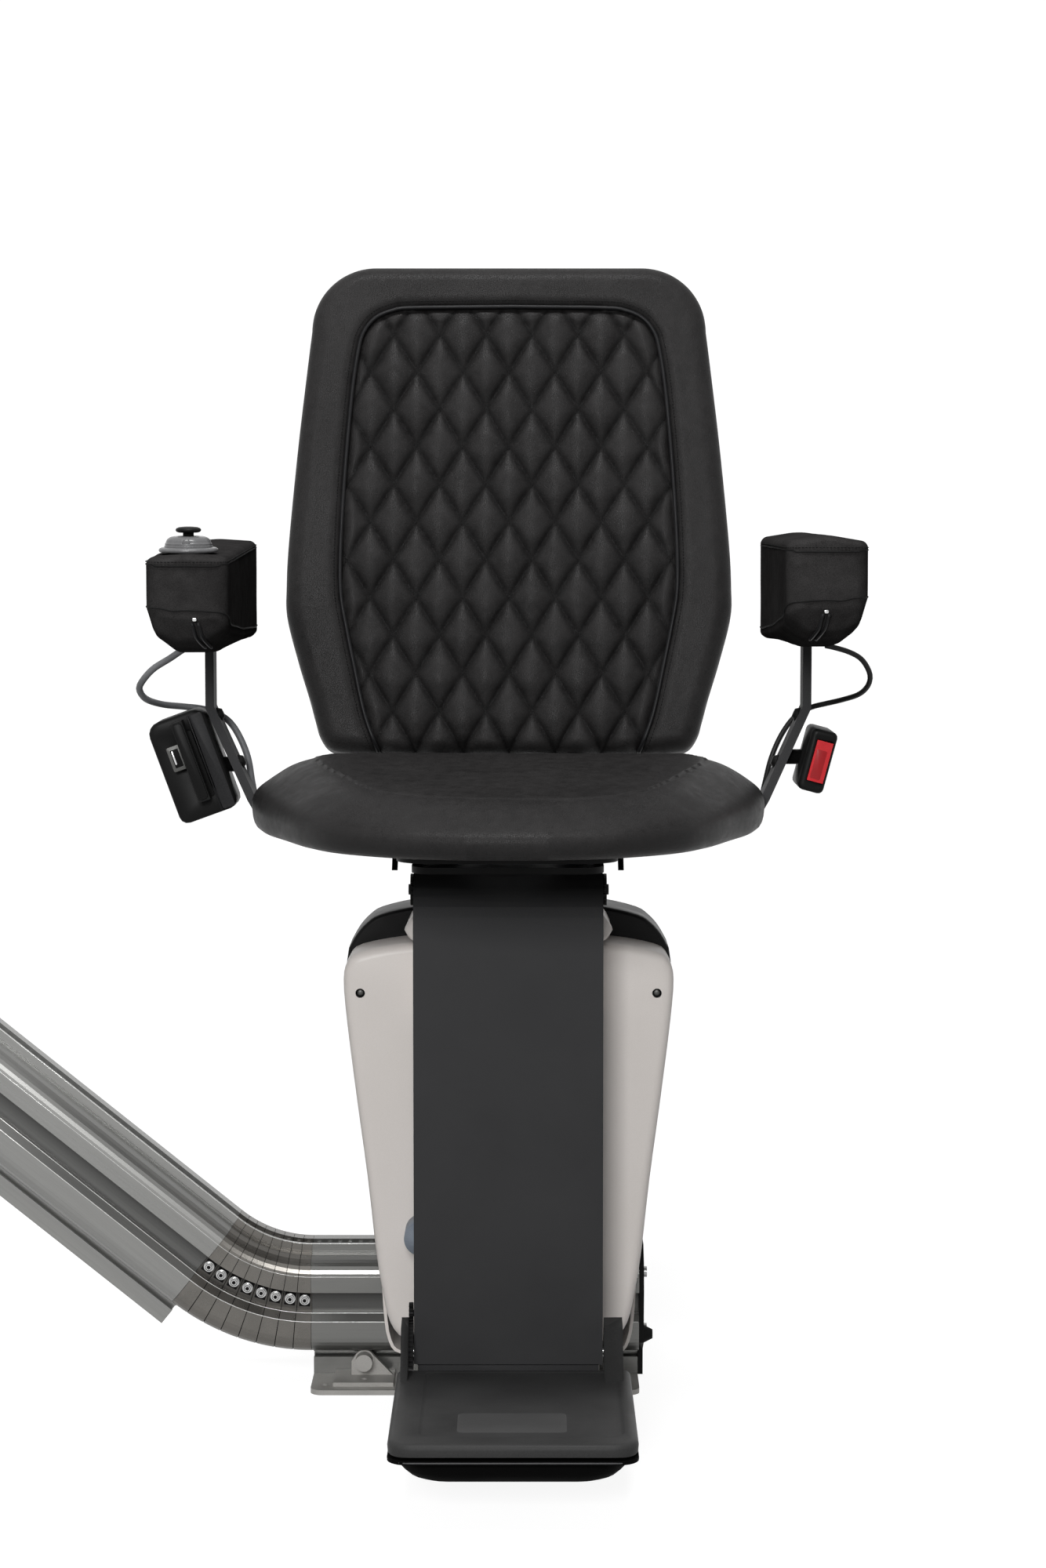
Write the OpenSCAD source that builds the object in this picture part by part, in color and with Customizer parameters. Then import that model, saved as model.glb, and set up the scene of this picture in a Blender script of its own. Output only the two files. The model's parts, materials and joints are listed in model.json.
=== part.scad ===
/* [Rail] */
// Length of the level stretch of rail
level_len = 326; // [310:2:500]
// Length of the inclined stretch of rail
incline_len = 330; // [200:10:600]
// Climb angle of the inclined stretch, in degrees
climb_angle = 39; // [30:1:45]
// Number of links in the curve between the two stretches
link_count = 8; // [6:1:10]
// Gap between neighbouring links
link_gap = 0.5; // [0.3:0.1:1]
// Height of the curve's axis over the floor
curve_axis_z = 258; // [250:2:300]
// Height of the slotted base of the rail
slot_base_h = 30; // [24:1:40]
// Height of the lower lobe of the rail section
lower_lobe_h = 32; // [28:1:40]
// Height of the bevel over the lower lobe
bevel_h = 7.5; // [5:0.5:9]
// Height of the roller recess
recess_h = 22.5; // [20:0.5:30]
// Height of the upper lobe
upper_lobe_h = 35; // [30:1:40]
// Height of the lip that guards the rack
lip_h = 9; // [8:0.5:12]
// Reach of the upper lobe in front of the rail's centre line
lobe_reach = 35; // [32:0.5:38]
// Distance from the rail's centre line to its rear face
rear_reach = 30; // [28:1:36]
// Wall of the rail extrusion
rail_wall = 4; // [3:0.5:5]
// Diameter of a link screw's head
link_screw_d = 8.5; // [7:0.5:10]

/* [Rail foot] */
// Width of the foot plate
foot_w = 326; // [300:2:400]
// Depth of the foot plate
foot_d = 118; // [100:2:140]
// Thickness of the foot plate
foot_t = 5; // [4:0.5:8]
// Corner radius of the foot plate
foot_corner_r = 12; // [8:1:20]
// Spacing of the floor bolts along the rail
foot_bolt_dx = 300; // [280:2:304]
// Spacing of the floor bolts across the rail
foot_bolt_dy = 76; // [70:2:84]
// Diameter of the floor bolt holes
foot_bolt_d = 6.5; // [5:0.5:9]
// Distance of a clamp from the middle of the foot
clamp_x = 111; // [90:1:130]

/* [Carriage] */
// Place of the chair's centre plane along the rail
chair_x = 34; // [20:1:45]
// Front face of the carriage, in front of the rail's centre line
cover_front = 172; // [165:1:185]
// Joint between the front and rear covers, in front of the rail's centre line
cover_joint = 110; // [100:1:125]
// Half-width of the carriage covers at their widest
cover_half_w = 156; // [148:1:165]
// Height of the underside of the carriage covers
cover_bottom_z = 80; // [78:1:90]
// Height of the widest part of the covers
cover_shoulder_z = 430; // [420:2:450]
// Wall of the carriage covers
cover_wall = 3; // [2:0.25:4]
// Thickness of the chassis plate
chassis_t = 8; // [6:0.5:10]
// Gap between the chassis plate and the rail
chassis_gap = 9; // [6:0.5:12]
// Distance of the rollers from the chair's centre plane
roller_dx = 62; // [55:1:70]
// Radius of a rear guide roller
guide_r = 9; // [7:0.5:12]
// Number of teeth on the drive pinion
pinion_teeth = 12; // [12:1:14]
// Width of the drive pinion
pinion_w = 13; // [10:0.5:15]

/* [Column] */
// Width of the column plate
column_w = 175; // [160:1:190]
// Front face of the column, in front of the rail's centre line
column_front = 250; // [245:1:260]
// Height of the lower edge of the column plate
column_bottom_z = 82; // [76:1:90]
// Height of the column's top face
column_top_z = 540; // [536:1:544]
// Radius of the bend at the top of the column
column_bend_r = 50; // [40:1:60]
// Thickness of the column sheet
column_t = 3; // [2:0.5:4]

/* [Footrest] */
// Height of the footrest's tread over the floor
tread_z = 78; // [74:1:84]
// Reach of the footrest's front edge from the rail's centre line
tread_front = 505; // [480:5:540]
// Half-width of the footrest
tread_half_w = 108; // [100:1:115]
// Shift of the footrest's middle to the right
tread_shift = 5; // [0:1:8]
// Depth of the tread's skirt
skirt_h = 10; // [8:0.5:12]
// Height of the underside of the safety tray
tray_bottom_z = 37; // [32:1:42]
// Travel of the safety tray
tray_travel = 2.5; // [2:0.5:4]
// Height of the footrest hinge over the floor
foot_hinge_z = 92; // [90:1:98]
// Diameter of the footrest hinge pin
foot_pin_d = 10; // [8:0.5:12]
// Number of teeth on the whole circle of the footrest's gear sector
sector_teeth = 36; // [34:2:40]
// Number of teeth on the footrest pinion
foot_pinion_teeth = 12; // [12:1:14]
// Module of the footrest gears
foot_module = 1.5; // [1.5:0.1:1.7]

/* [Seat] */
// Height of the cushion's underside
seat_under_z = 577; // [574:1:582]
// Thickness of the cushion at its rear
seat_rear_h = 74; // [66:1:80]
// Thickness of the cushion at its front
seat_front_h = 42; // [36:1:50]
// Half-width of the cushion at its widest
seat_half_w = 236; // [225:1:250]
// Reach of the cushion's front edge
seat_front = 489; // [470:1:510]
// Place of the cushion's rear edge
seat_rear = 140; // [136:1:150]
// Distance of the swivel axis from the rail's centre line
swivel_y = 205; // [200:1:215]
// Diameter of the swivel post
swivel_d = 40; // [34:1:48]
// Height of the fold axis
fold_z = 585; // [583:1:589]
// Distance of the fold axis from the rail's centre line
fold_y = 165; // [162:1:170]
// Diameter of the fold pins
fold_pin_d = 8; // [6:0.5:10]
// Half-width of the seat base
base_half_w = 105; // [100:1:115]

/* [Backrest] */
// Length of the backrest along its lean
back_len = 468; // [430:2:500]
// Half-width of the backrest at its widest
back_half_w = 214; // [200:1:225]
// Lean of the backrest, in degrees
back_lean = 11.1; // [8:0.1:15]
// Thickness of the backrest cushion
back_t = 46; // [38:1:56]
// Radius of the backrest's top corners
back_corner_r = 62; // [50:1:75]

/* [Armrests] */
// Gap between the seat cushion and an armrest
arm_gap = 2; // [2:0.5:10]
// Width of an armrest
arm_w = 70; // [62:1:78]
// Front end of the armrests
arm_front = 450; // [430:1:480]
// Rear end of the armrests
arm_rear = 120; // [112:1:128]
// Height of the armrests' crown
arm_top_z = 851; // [845:1:860]
// Height of an armrest's pivot
arm_pivot_z = 802; // [798:1:806]
// Distance of an armrest's pivot from the rail's centre line
arm_pivot_y = 186; // [180:1:195]
// Thickness of the arm bars
bar_t = 8; // [6:0.5:10]
// Width of the arm bars
bar_w = 30; // [26:1:34]
// Diameter of an arm's pivot pin
arm_pin_d = 10; // [8:0.5:12]
// Diameter of the joystick's knob
knob_d = 22; // [18:1:26]

/* [Belt] */
// Width of the belt reel's case
reel_w = 56; // [50:1:60]
// Height of the belt reel's case
reel_h = 98; // [88:1:104]
// Depth of the belt reel's case
reel_d = 50; // [46:1:56]
// Width of the buckle
buckle_w = 24; // [22:1:28]
// Height of the buckle
buckle_h = 58; // [54:1:64]
// Length of the buckle
buckle_len = 70; // [62:1:80]
// Travel of the buckle's button
button_travel = 5; // [3:0.5:6]

/* [Hidden] */
$fn = 48;

// Clearances
fit_gap = 0.05;
part_gap = 0.3;
cover_gap = 1;

// Rail section, stacked from the floor up
slot_top_z = foot_t + slot_base_h;
lower_top_z = slot_top_z + lower_lobe_h;
recess_z = lower_top_z + bevel_h;
upper_z = recess_z + recess_h;
upper_top_z = upper_z + upper_lobe_h;
rail_top_z = upper_top_z + lip_h;
lower_front = -(lobe_reach - 3);
recess_back = -17;
lip_front = -10;
lip_t = 5;
channel_y0 = lip_front + lip_t;
channel_w = 18;
lobe_round = 20;
under_round = 15;

// Rail in plan
curve_x = -level_len / 2;
base_overrun = 8;
link_angle = climb_angle / link_count;
half_link_gap = link_gap / 2;
clamp_boss_z = foot_t + slot_base_h - 10;
clamp_face_y = -15;
end_plate_t = 5;
end_x = level_len / 2;
end_screw_z = [slot_top_z + 16, upper_z + 12];

// Rack and pinion
rack_pitch_z = rail_top_z - 6;
rack_pitch_r = curve_axis_z - rack_pitch_z;
rack_pitch = rack_pitch_r * link_angle * PI / 180;
rack_module = rack_pitch / PI;
rack_addendum = 0.62 * rack_module;
rack_root = 1.05 * rack_module;
pressure_angle = 20;
tooth_backlash = 0.35;
pinion_r = pinion_teeth * rack_pitch / (2 * PI);
pinion_z = rack_pitch_z + pinion_r;
pinion_y = channel_y0 + channel_w / 2;
pinion_phase = ((chair_x - curve_x) / rack_pitch - 0.5) * 360 / pinion_teeth;
pinion_shaft_d = 12;
rack_w = pinion_w + 2;
channel_floor_z = rack_pitch_z - rack_root - 5;

// Carriage, front to rear; depths are measured along Y
chassis_y = -(lobe_reach + chassis_gap);
chassis_front = chassis_y - chassis_t;
load_r = (recess_h - 1.5) / 2;
load_z = recess_z + load_r + fit_gap;
load_w = 8;
load_y = recess_back - 1 - load_w / 2;
roller_axle_d = 6;
guide_y = rear_reach + guide_r + fit_gap;
guide_w = 16;
guide_z = rail_top_z - 16 - guide_w;
hook_z = rail_top_z + 6;
hook_t = 10;
hook_w = 26;
cover_top_z = 455;
rear_bottom_z = cover_bottom_z - 28;
column_front_y = -column_front;
frame_web_y = -(cover_front + 5);
frame_w = 130;
hub_z = 440;
hub_d = 70;
hub_cover_half_w = 100;
hub_cover_r = 44;
hub_cover_z = hub_z - 40;
battery_x = 78;
battery_z = 300;
battery_w = 64;
battery_h = 100;
board_w = 150;
board_h = 30;
board_z = 366;
chip_w = 16;
chip_pitch = 26;

cheek_t = 5;
cheek_y = -158;
cheek_z = column_top_z - 25;

// Footrest
foot_hinge_y = column_front_y + 10;
sector_r = sector_teeth * foot_module / 2;
foot_pinion_r = foot_pinion_teeth * foot_module / 2;
foot_pinion_z = foot_hinge_z + sector_r + foot_pinion_r + 0.1;
foot_gear_w = 4;
foot_gear_x = -(column_w / 2 + 0.8 + foot_gear_w);
ear_t = 6.5;
tread_rear_y = column_front_y - 5;
tray_lip_z = tread_z - skirt_h - tray_travel - 0.5;
tray_post_d = 6;

// Seat
fold_y0 = -fold_y;
pan_t = 7;
pan_w = 2 * base_half_w - 18;
base_z = column_top_z + 10;
base_t = 6;
base_top_z = base_z + base_t;
base_rear_y = -88;
base_front_half_w = 86;
lug_t = 6;
lug_r = 12;
lug_x = 80;
lever_y = -300;
lever_z = base_top_z + 7;
lever_shaft_d = 8;
lever_lug_r = 6.5;
back_y0 = -120;
back_z0 = 650;
shell_t = 14;
back_bar_t = 6;

// Armrests
arm_inner = seat_half_w + arm_gap;
arm_mid = arm_inner + arm_w / 2;
bar_top_x = arm_mid + 4;
bar_bend_z = 690;
bar_low_x = seat_half_w + 3;
bar_run_z = seat_under_z + 18;
foot_run_z = base_top_z + bar_t / 2;
leg_x = base_half_w + 1;
bar_slot = bar_t + 2 * part_gap;
arm_slot_x = leg_x - 12;
arm_slot_w = seat_half_w + 8 - arm_slot_x;
core_w = 26;
core_front = 92;
left_droop = 1.9;
stick_x = -(arm_mid + 2);
stick_y = -400;
stick_z = arm_top_z - 8;
stick_pin_d = 3;

// Cable routes, in the chair's own plane
cable_left_route = [[-292, -218, 748], [-300, -217, 744], [-312, -215, 736], [-328, -211, 726],
    [-339, -206, 714], [-342, -200, 706], [-337, -190, 697], [-324, -172, 691], [-306, -157, 688],
    [-290, -154, 686], [-276, -154, 682], [-263, -157, 674], [-253, -161, 660], [-245, -163, 640], [-241, -163, 616],
    [-237, -163, 601], [-226, -163, 592], [-190, -163, 590], [-150, -163, 590], [-120, -163, 589],
    [-107, -163, 581], [-101, -163, 569], [-100, -163, base_top_z]];
cable_right_route = [[292, -218, 748], [301, -217, 746], [314, -215, 742], [325, -212, 736],
    [332, -208, 727], [335, -204, 718], [333, -198, 709], [326, -186, 701], [312, -170, 695],
    [298, -161, 691], [284, -157, 687], [270, -156, 679], [257, -159, 662], [247, -163, 640], [241, -163, 616],
    [237, -163, 601], [226, -163, 592], [190, -163, 590], [150, -163, 590], [120, -163, 589],
    [107, -163, 581], [101, -163, 569], [100, -163, base_top_z]];

// Functions for outlines and skins

function unit(v) = v / norm(v);
function left_normal(a, b) = let (d = unit(b - a)) [-d[1], d[0]];
function arc_pts(c, r, a0, a1, n = 6) =
    [for (i = [0:n]) let (a = a0 + (a1 - a0) * i / n) c + r * [cos(a), sin(a)]];
function mirrored(half) =
    concat(half, [for (i = [len(half) - 1:-1:0]) [-half[i][0], half[i][1]]]);
function at(pts, i) = pts[(i + len(pts)) % len(pts)];

// Each point of a counter-clockwise outline moved in by d
function inset(pts, d) = [for (i = [0:len(pts) - 1])
    let (n1 = left_normal(at(pts, i - 1), pts[i]), n2 = left_normal(pts[i], at(pts, i + 1)))
    pts[i] + d * (n1 + n2) / (1 + n1 * n2)];

// Smooth curve through control points, n steps to a span
function smooth(p, n = 4) = concat([for (i = [0:len(p) - 2], k = [0:n - 1])
    let (a = p[max(i - 1, 0)], b = p[i], c = p[i + 1], d = p[min(i + 2, len(p) - 1)], t = k / n)
    0.5 * (2 * b + t * (c - a) + t * t * (2 * a - 5 * b + 4 * c - d)
        + t * t * t * (3 * b - a - 3 * c + d))], [p[len(p) - 1]]);

function lift(pts, z) = [for (p = pts) [p[0], p[1], z]];

// Rings of a prism of height h with edges rounded by ra below and rb above
function round_rings(pts, h, ra, rb, n = 4) = concat(
    ra == 0 ? [lift(pts, 0)]
        : [for (i = [0:n]) let (a = 90 * i / n) lift(inset(pts, ra * (1 - sin(a))), ra * (1 - cos(a)))],
    rb == 0 ? [lift(pts, h)]
        : [for (i = [0:n]) let (a = 90 * i / n) lift(inset(pts, rb * (1 - cos(a))), h - rb * (1 - sin(a)))]);

// Strip of thickness t along an open path
function strip(path, t) = let (m = len(path) - 1,
    normals = [for (i = [0:m]) let (n1 = left_normal(path[max(i - 1, 0)], path[max(i, 1)]),
        n2 = left_normal(path[min(i, m - 1)], path[min(i + 1, m)])) (n1 + n2) / (1 + n1 * n2)])
    concat([for (i = [0:m]) path[i] - normals[i] * t / 2], [for (i = [m:-1:0]) path[i] + normals[i] * t / 2]);

// One involute tooth's outline as [radius, half-angle] pairs, from root to tip
function gear_outline(teeth, r, addendum, root, thin) = let (
    base = r * cos(pressure_angle),
    inv0 = tan(pressure_angle) * 180 / PI - pressure_angle,
    half0 = 90 / teeth - thin * 90 / (PI * r) + inv0,
    r_root = r - root,
    r_low = max(base, r_root) + 0.01,
    r_tip = r + addendum,
    flank = [for (k = [0:4]) let (q = r_low + (r_tip - r_low) * k / 4, al = acos(base / q))
        [q, half0 - tan(al) * 180 / PI + al]],
    side = concat([[r_root, half0]], flank))
    [for (i = [0:teeth - 1], k = [0:2 * len(side) - 1]) let (
        p = k < len(side) ? side[k] : side[2 * len(side) - 1 - k],
        a = 360 * i / teeth + (k < len(side) ? -p[1] : p[1]))
        p[0] * [cos(a), sin(a)]];

// Rack outline over its bar, from x = 0 to x = count * pitch, a tooth in the middle of each pitch
function rack_outline(count, pitch, addendum, root, bar) = concat([[0, -root - bar]],
    [[count * pitch, -root - bar]],
    [for (i = [count - 1:-1:0]) let (c = (i + 0.5) * pitch, w = pitch / 4 - tooth_backlash / 2,
        low = w + root * tan(pressure_angle), high = w - addendum * tan(pressure_angle))
        each [[c + low, -root], [c + high, addendum], [c - high, addendum], [c - low, -root]]],
    [[0, -root]]);

// Closed skin through rings of equally many points, counter-clockwise from the far end
module skin(rings) {
    n = len(rings[0]);
    m = len(rings);
    polyhedron(points = [for (r = rings) each r], faces = concat(
        [[for (i = [0:n - 1]) i]],
        [for (j = [0:m - 2], i = [0:n - 1]) let (a = j * n + i, b = j * n + (i + 1) % n)
            each [[a, a + n, b + n], [a, b + n, b]]],
        [[for (i = [n - 1:-1:0]) (m - 1) * n + i]]));
}

module round_prism(pts, h, ra, rb, n = 4) {
    skin(round_rings(pts, h, ra, rb, n));
}

// Rectangle with round corners
module round_square(w, h, r) {
    square([w - 2 * r, h], center = true);
    square([w, h - 2 * r], center = true);
    for (sx = [-1, 1], sy = [-1, 1])
        translate([sx * (w / 2 - r), sy * (h / 2 - r)]) circle(r);
}

// Profile in (Y, Z), extruded along +X from x0
module along_x(x0, len) {
    translate([x0, 0, 0]) rotate([90, 0, 90]) linear_extrude(len) children();
}

// Profile in (X, Z), extruded from y0 towards the rear
module along_y(y0, len) {
    translate([0, y0 + len, 0]) rotate([90, 0, 0]) linear_extrude(len) children();
}

module at_chair() {
    translate([chair_x, 0, 0]) children();
}

module rod_x(d, len) {
    rotate([0, 90, 0]) cylinder(d = d, h = len, center = true);
}

module rod_y(d, len) {
    rotate([90, 0, 0]) cylinder(d = d, h = len, center = true);
}

// Round tube swept along a route
module cable(route, d, sides = 8) {
    m = len(route) - 1;
    skin([for (i = [0:m]) let (
        t = unit(route[min(i + 1, m)] - route[max(i - 1, 0)]),
        u = unit(cross(t, [0, 1, 0.01])),
        v = cross(u, t))
        [for (k = [0:sides - 1]) let (a = 360 * k / sides)
            route[i] + d / 2 * (cos(a) * u + sin(a) * v)]]);
}

// Rail

function lobes_outline() = concat(
    [[rear_reach, slot_top_z], [rear_reach, rail_top_z], [channel_y0 + channel_w, rail_top_z],
        [channel_y0 + channel_w, channel_floor_z], [channel_y0, channel_floor_z],
        [channel_y0, rail_top_z], [lip_front, rail_top_z], [lip_front, upper_top_z + 1.5],
        [lip_front - 2, upper_top_z + 1.5], [lip_front - 2, upper_top_z]],
    arc_pts([lobe_round - lobe_reach, upper_top_z - lobe_round], lobe_round, 90, 180, 8),
    [[-lobe_reach, upper_z], [recess_back, upper_z], [recess_back, recess_z],
        [lower_front + 6, recess_z], [lower_front, lower_top_z]],
    arc_pts([lower_front + under_round, slot_top_z + under_round], under_round, 180, 270, 6));

module lobes() {
    difference() {
        polygon(lobes_outline());
        translate([recess_back + rail_wall, slot_top_z + rail_wall])
            square([rear_reach - recess_back - 2 * rail_wall, lower_lobe_h - rail_wall]);
        translate([recess_back + rail_wall, recess_z - rail_wall / 2])
            square([rear_reach - recess_back - 2 * rail_wall, recess_h - rail_wall / 2]);
        translate([lobe_round - lobe_reach - 2, upper_z + rail_wall + 8]) circle(6);
        translate([lower_front + under_round, slot_top_z + under_round + 2]) circle(under_round - rail_wall - 2);
    }
}

// Slotted base under the lobes, with a T-shaped slot in its front
module slot_base() {
    difference() {
        translate([5, foot_t]) square([rear_reach - 5, slot_base_h]);
        translate([4, clamp_boss_z - 3]) square([6, 6]);
        translate([9, clamp_boss_z - 6]) square([6, 12]);
    }
}

module rail_level() {
    color("darkgray") along_x(curve_x, level_len) {
        lobes();
        slot_base();
    }
}

// Turns its children about the curve's axis, up the climb
module on_curve(angle) {
    translate([curve_x, 0, curve_axis_z]) rotate([0, angle, 0]) translate([-curve_x, 0, -curve_axis_z])
        children();
}

module rail_incline() {
    color("darkgray") on_curve(climb_angle) {
        along_x(curve_x - incline_len, incline_len) {
            lobes();
            slot_base();
        }
        along_x(curve_x - 1, base_overrun + 1) slot_base();
    }
}

module curve_link(i) {
    gap_angle = half_link_gap / rack_pitch_r * 180 / PI;
    translate([curve_x, 0, curve_axis_z]) rotate([-90, 0, 0]) rotate([0, 0, 90 + i * link_angle + gap_angle])
        rotate_extrude(angle = link_angle - 2 * gap_angle)
            rotate(90) translate([0, -curve_axis_z]) children();
}

module curve_links() {
    color("silver") difference() {
        for (i = [0:link_count - 1]) curve_link(i) lobes();
        for (i = [0:link_count - 1]) on_curve((i + 0.5) * link_angle)
            translate([curve_x, recess_back, recess_z + recess_h / 2]) rod_y(link_screw_d - 3, 2 * rail_wall + 2);
    }
}

module rail_screws() {
    color("silver") for (z = end_screw_z)
        translate([end_x, 6, z]) {
            translate([end_plate_t / 2, 0, 0]) rod_x(6, end_plate_t);
            translate([end_plate_t + 2, 0, 0]) rod_x(11, 4);
        }
    color("gray") for (i = [0:link_count - 1]) on_curve((i + 0.5) * link_angle)
        translate([curve_x, recess_back, recess_z + recess_h / 2]) difference() {
            union() {
                translate([0, -0.6, 0]) rod_y(link_screw_d + 2, 1.2);
                translate([0, -3, 0]) rod_y(link_screw_d, 4);
                translate([0, rail_wall / 2, 0]) rod_y(link_screw_d - 3, rail_wall);
            }
            translate([0, -5, 0]) rotate([90, 0, 0]) cylinder(d = 4, h = 4, center = true, $fn = 6);
        }
}

module rack_strip(x0, count) {
    translate([x0, 0, rack_pitch_z]) along_y(pinion_y - rack_w / 2, rack_w)
        polygon(rack_outline(count, rack_pitch, rack_addendum, rack_root, rack_pitch_z - rack_root - channel_floor_z));
}

module drive_rack() {
    level_count = floor((level_len - 2) / rack_pitch);
    incline_count = floor((incline_len - 2) / rack_pitch);
    color("dimgray") {
        rack_strip(curve_x, level_count);
        on_curve(climb_angle) rack_strip(curve_x - incline_count * rack_pitch, incline_count);
        for (i = [0:link_count - 1]) {
            curve_link(i) translate([pinion_y - rack_w / 2, channel_floor_z])
                square([rack_w, rack_pitch_z - rack_root - channel_floor_z]);
            on_curve((i + 0.5) * link_angle) translate([curve_x, 0, rack_pitch_z])
                along_y(pinion_y - rack_w / 2, rack_w)
                    polygon([for (p = rack_outline(1, rack_pitch, rack_addendum, rack_root, 0.5))
                        if (abs(p[0] - rack_pitch / 2) < rack_pitch * 0.45) p - [rack_pitch / 2, 0]]);
        }
    }
}

module rail_end_plate() {
    color("gainsboro") difference() {
        translate([end_x, 0, 0]) rotate([90, 0, 90]) linear_extrude(end_plate_t)
            polygon([[rear_reach, foot_t], [rear_reach, rail_top_z], [lip_front, rail_top_z],
                [-lobe_reach + 8, upper_top_z - 8], [-lobe_reach + 3, upper_z], [lower_front + 4, recess_z],
                [lower_front + 4, slot_top_z + 10], [2, slot_top_z - 4], [2, foot_t]]);
        for (z = end_screw_z)
            translate([end_x + end_plate_t / 2, 6, z]) rod_x(6, end_plate_t + 1);
    }
}

module end_stop_bumper() {
    color("black") translate([end_x + end_plate_t, -16, slot_top_z + 16])
        rotate([0, 90, 0]) cylinder(d1 = 18, d2 = 9, h = 9);
}

module foot_plate() {
    color("lightgray") difference() {
        linear_extrude(foot_t) round_square(foot_w, foot_d, foot_corner_r);
        for (sx = [-1, 1], sy = [-1, 1])
            translate([sx * foot_bolt_dx / 2, sy * foot_bolt_dy / 2, -1]) cylinder(d = foot_bolt_d, h = foot_t + 2);
    }
}

module foot_clamp(side) {
    translate([side * clamp_x, 0, 0]) difference() {
        union() {
            translate([-30, clamp_face_y - 30, foot_t]) cube([60, 36, 4]);
            along_y(clamp_face_y, 6) mirror([side > 0 ? 1 : 0, 0]) {
                translate([0, clamp_boss_z]) circle(9.5);
                polygon([[-13, foot_t], [28, foot_t], [28, foot_t + 4], [9, clamp_boss_z + 4], [0, clamp_boss_z + 9],
                    [-9, clamp_boss_z + 4], [-13, clamp_boss_z - 2]]);
            }
            translate([-30, clamp_face_y, foot_t]) cube([60, 20, 4]);
        }
        translate([0, clamp_face_y + 3, clamp_boss_z]) rod_y(8, 20);
        translate([0, clamp_face_y - 16, foot_t - 1]) cylinder(d = 7, h = 6);
    }
}

module foot_clamps() {
    color("lightgray") for (side = [-1, 1]) foot_clamp(side);
}

module clamp_bolts() {
    color("gainsboro") for (side = [-1, 1]) translate([side * clamp_x, clamp_face_y, clamp_boss_z]) {
        translate([0, -1.5, 0]) rod_y(20, 3);
        translate([0, -8.5, 0]) rod_y(17, 17);
        translate([0, 10, 0]) rod_y(8, 20);
        translate([0, 23, 0]) rod_y(5.6, 8);
        translate([-5, 25, -5]) cube([10, 4, 10]);
    }
}

// Carriage

module chassis_plate() {
    color("dimgray") at_chair() difference() {
        union() {
            along_y(chassis_front, chassis_t) translate([0, 260]) round_square(200, 2 * (260 - cover_bottom_z - 2), 12);
            for (side = [-1, 1]) {
                translate([side * roller_dx - hook_w / 2, chassis_y, hook_z]) cube([hook_w, guide_y + guide_r - chassis_y, hook_t]);
                translate([side * roller_dx, guide_y, guide_z - 1]) cylinder(d = roller_axle_d, h = hook_z - guide_z + 2);
                translate([side * roller_dx, guide_y, guide_z - 2.5]) cylinder(d = roller_axle_d + 4, h = 2.2);
            }
            translate([0, chassis_front - 2, hub_z]) rod_y(hub_d + 24, 4);
        }
        translate([0, chassis_y, pinion_z]) rod_y(pinion_shaft_d + 2 * fit_gap, 3 * chassis_t);
        translate([0, chassis_y, hub_z]) rod_y(hub_d - 16, 4 * chassis_t);
        for (side = [-1, 1]) translate([side * roller_dx, chassis_y, load_z]) rod_y(roller_axle_d, 3 * chassis_t);
    }
}

function cover_half(k = 0) = smooth([[60, cover_bottom_z + k], [98, cover_bottom_z + 4 + k],
    [113, cover_bottom_z + 20], [cover_half_w - 36, cover_bottom_z + 50], [cover_half_w - 30, cover_bottom_z + 87],
    [cover_half_w - 22, cover_bottom_z + 160], [cover_half_w - 12, cover_bottom_z + 236],
    [cover_half_w - 3, cover_shoulder_z - 40], [cover_half_w, cover_shoulder_z],
    [cover_half_w - 4, cover_top_z - 8], [cover_half_w - 16, cover_top_z + 2],
    [cover_half_w - 60, cover_top_z + 10], [30, cover_top_z + 14]], 3);
function cover_outline() = mirrored(cover_half());

module to_front(y0) {
    translate([0, y0, 0]) rotate([90, 0, 0]) children();
}

module front_cover() {
    d = cover_front - cover_joint;
    color("antiquewhite") at_chair() difference() {
        to_front(-cover_joint) round_prism(cover_outline(), d, 0, 9);
        to_front(-cover_joint + 1) round_prism(inset(cover_outline(), cover_wall), d + 1 - cover_wall, 0, 6);
        translate([0, -cover_front, hub_z]) rod_y(hub_d + 2 * cover_gap, 2 * (cover_front - cover_joint) + 4);
        for (side = [-1, 1]) translate([side * 140, -cover_front, cover_shoulder_z - 12]) rod_y(9, 40);
    }
}

function rear_outline(d) = inset(mirrored(smooth([[60, rear_bottom_z], [104, rear_bottom_z + 3],
    [117, rear_bottom_z + 16], [cover_half_w - 34, rear_bottom_z + 50], [cover_half_w - 31, cover_bottom_z + 87],
    [cover_half_w - 24, cover_bottom_z + 160], [cover_half_w - 14, cover_bottom_z + 236],
    [cover_half_w - 4, cover_shoulder_z - 30], [cover_half_w - 3, cover_shoulder_z + 6]], 3)), d);

rear_open_w = 230;

module rear_cover() {
    color("antiquewhite") at_chair() difference() {
        to_front(chassis_y) linear_extrude(cover_joint + chassis_y - part_gap) polygon(rear_outline(0));
        to_front(chassis_y + 1) linear_extrude(cover_joint + 2) polygon(rear_outline(cover_wall));
        translate([-rear_open_w / 2, -cover_joint - 1, cover_shoulder_z - 8]) cube([rear_open_w, cover_joint, 20]);
    }
}

top_cover_z = 438;
top_cover_h = 59;

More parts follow.
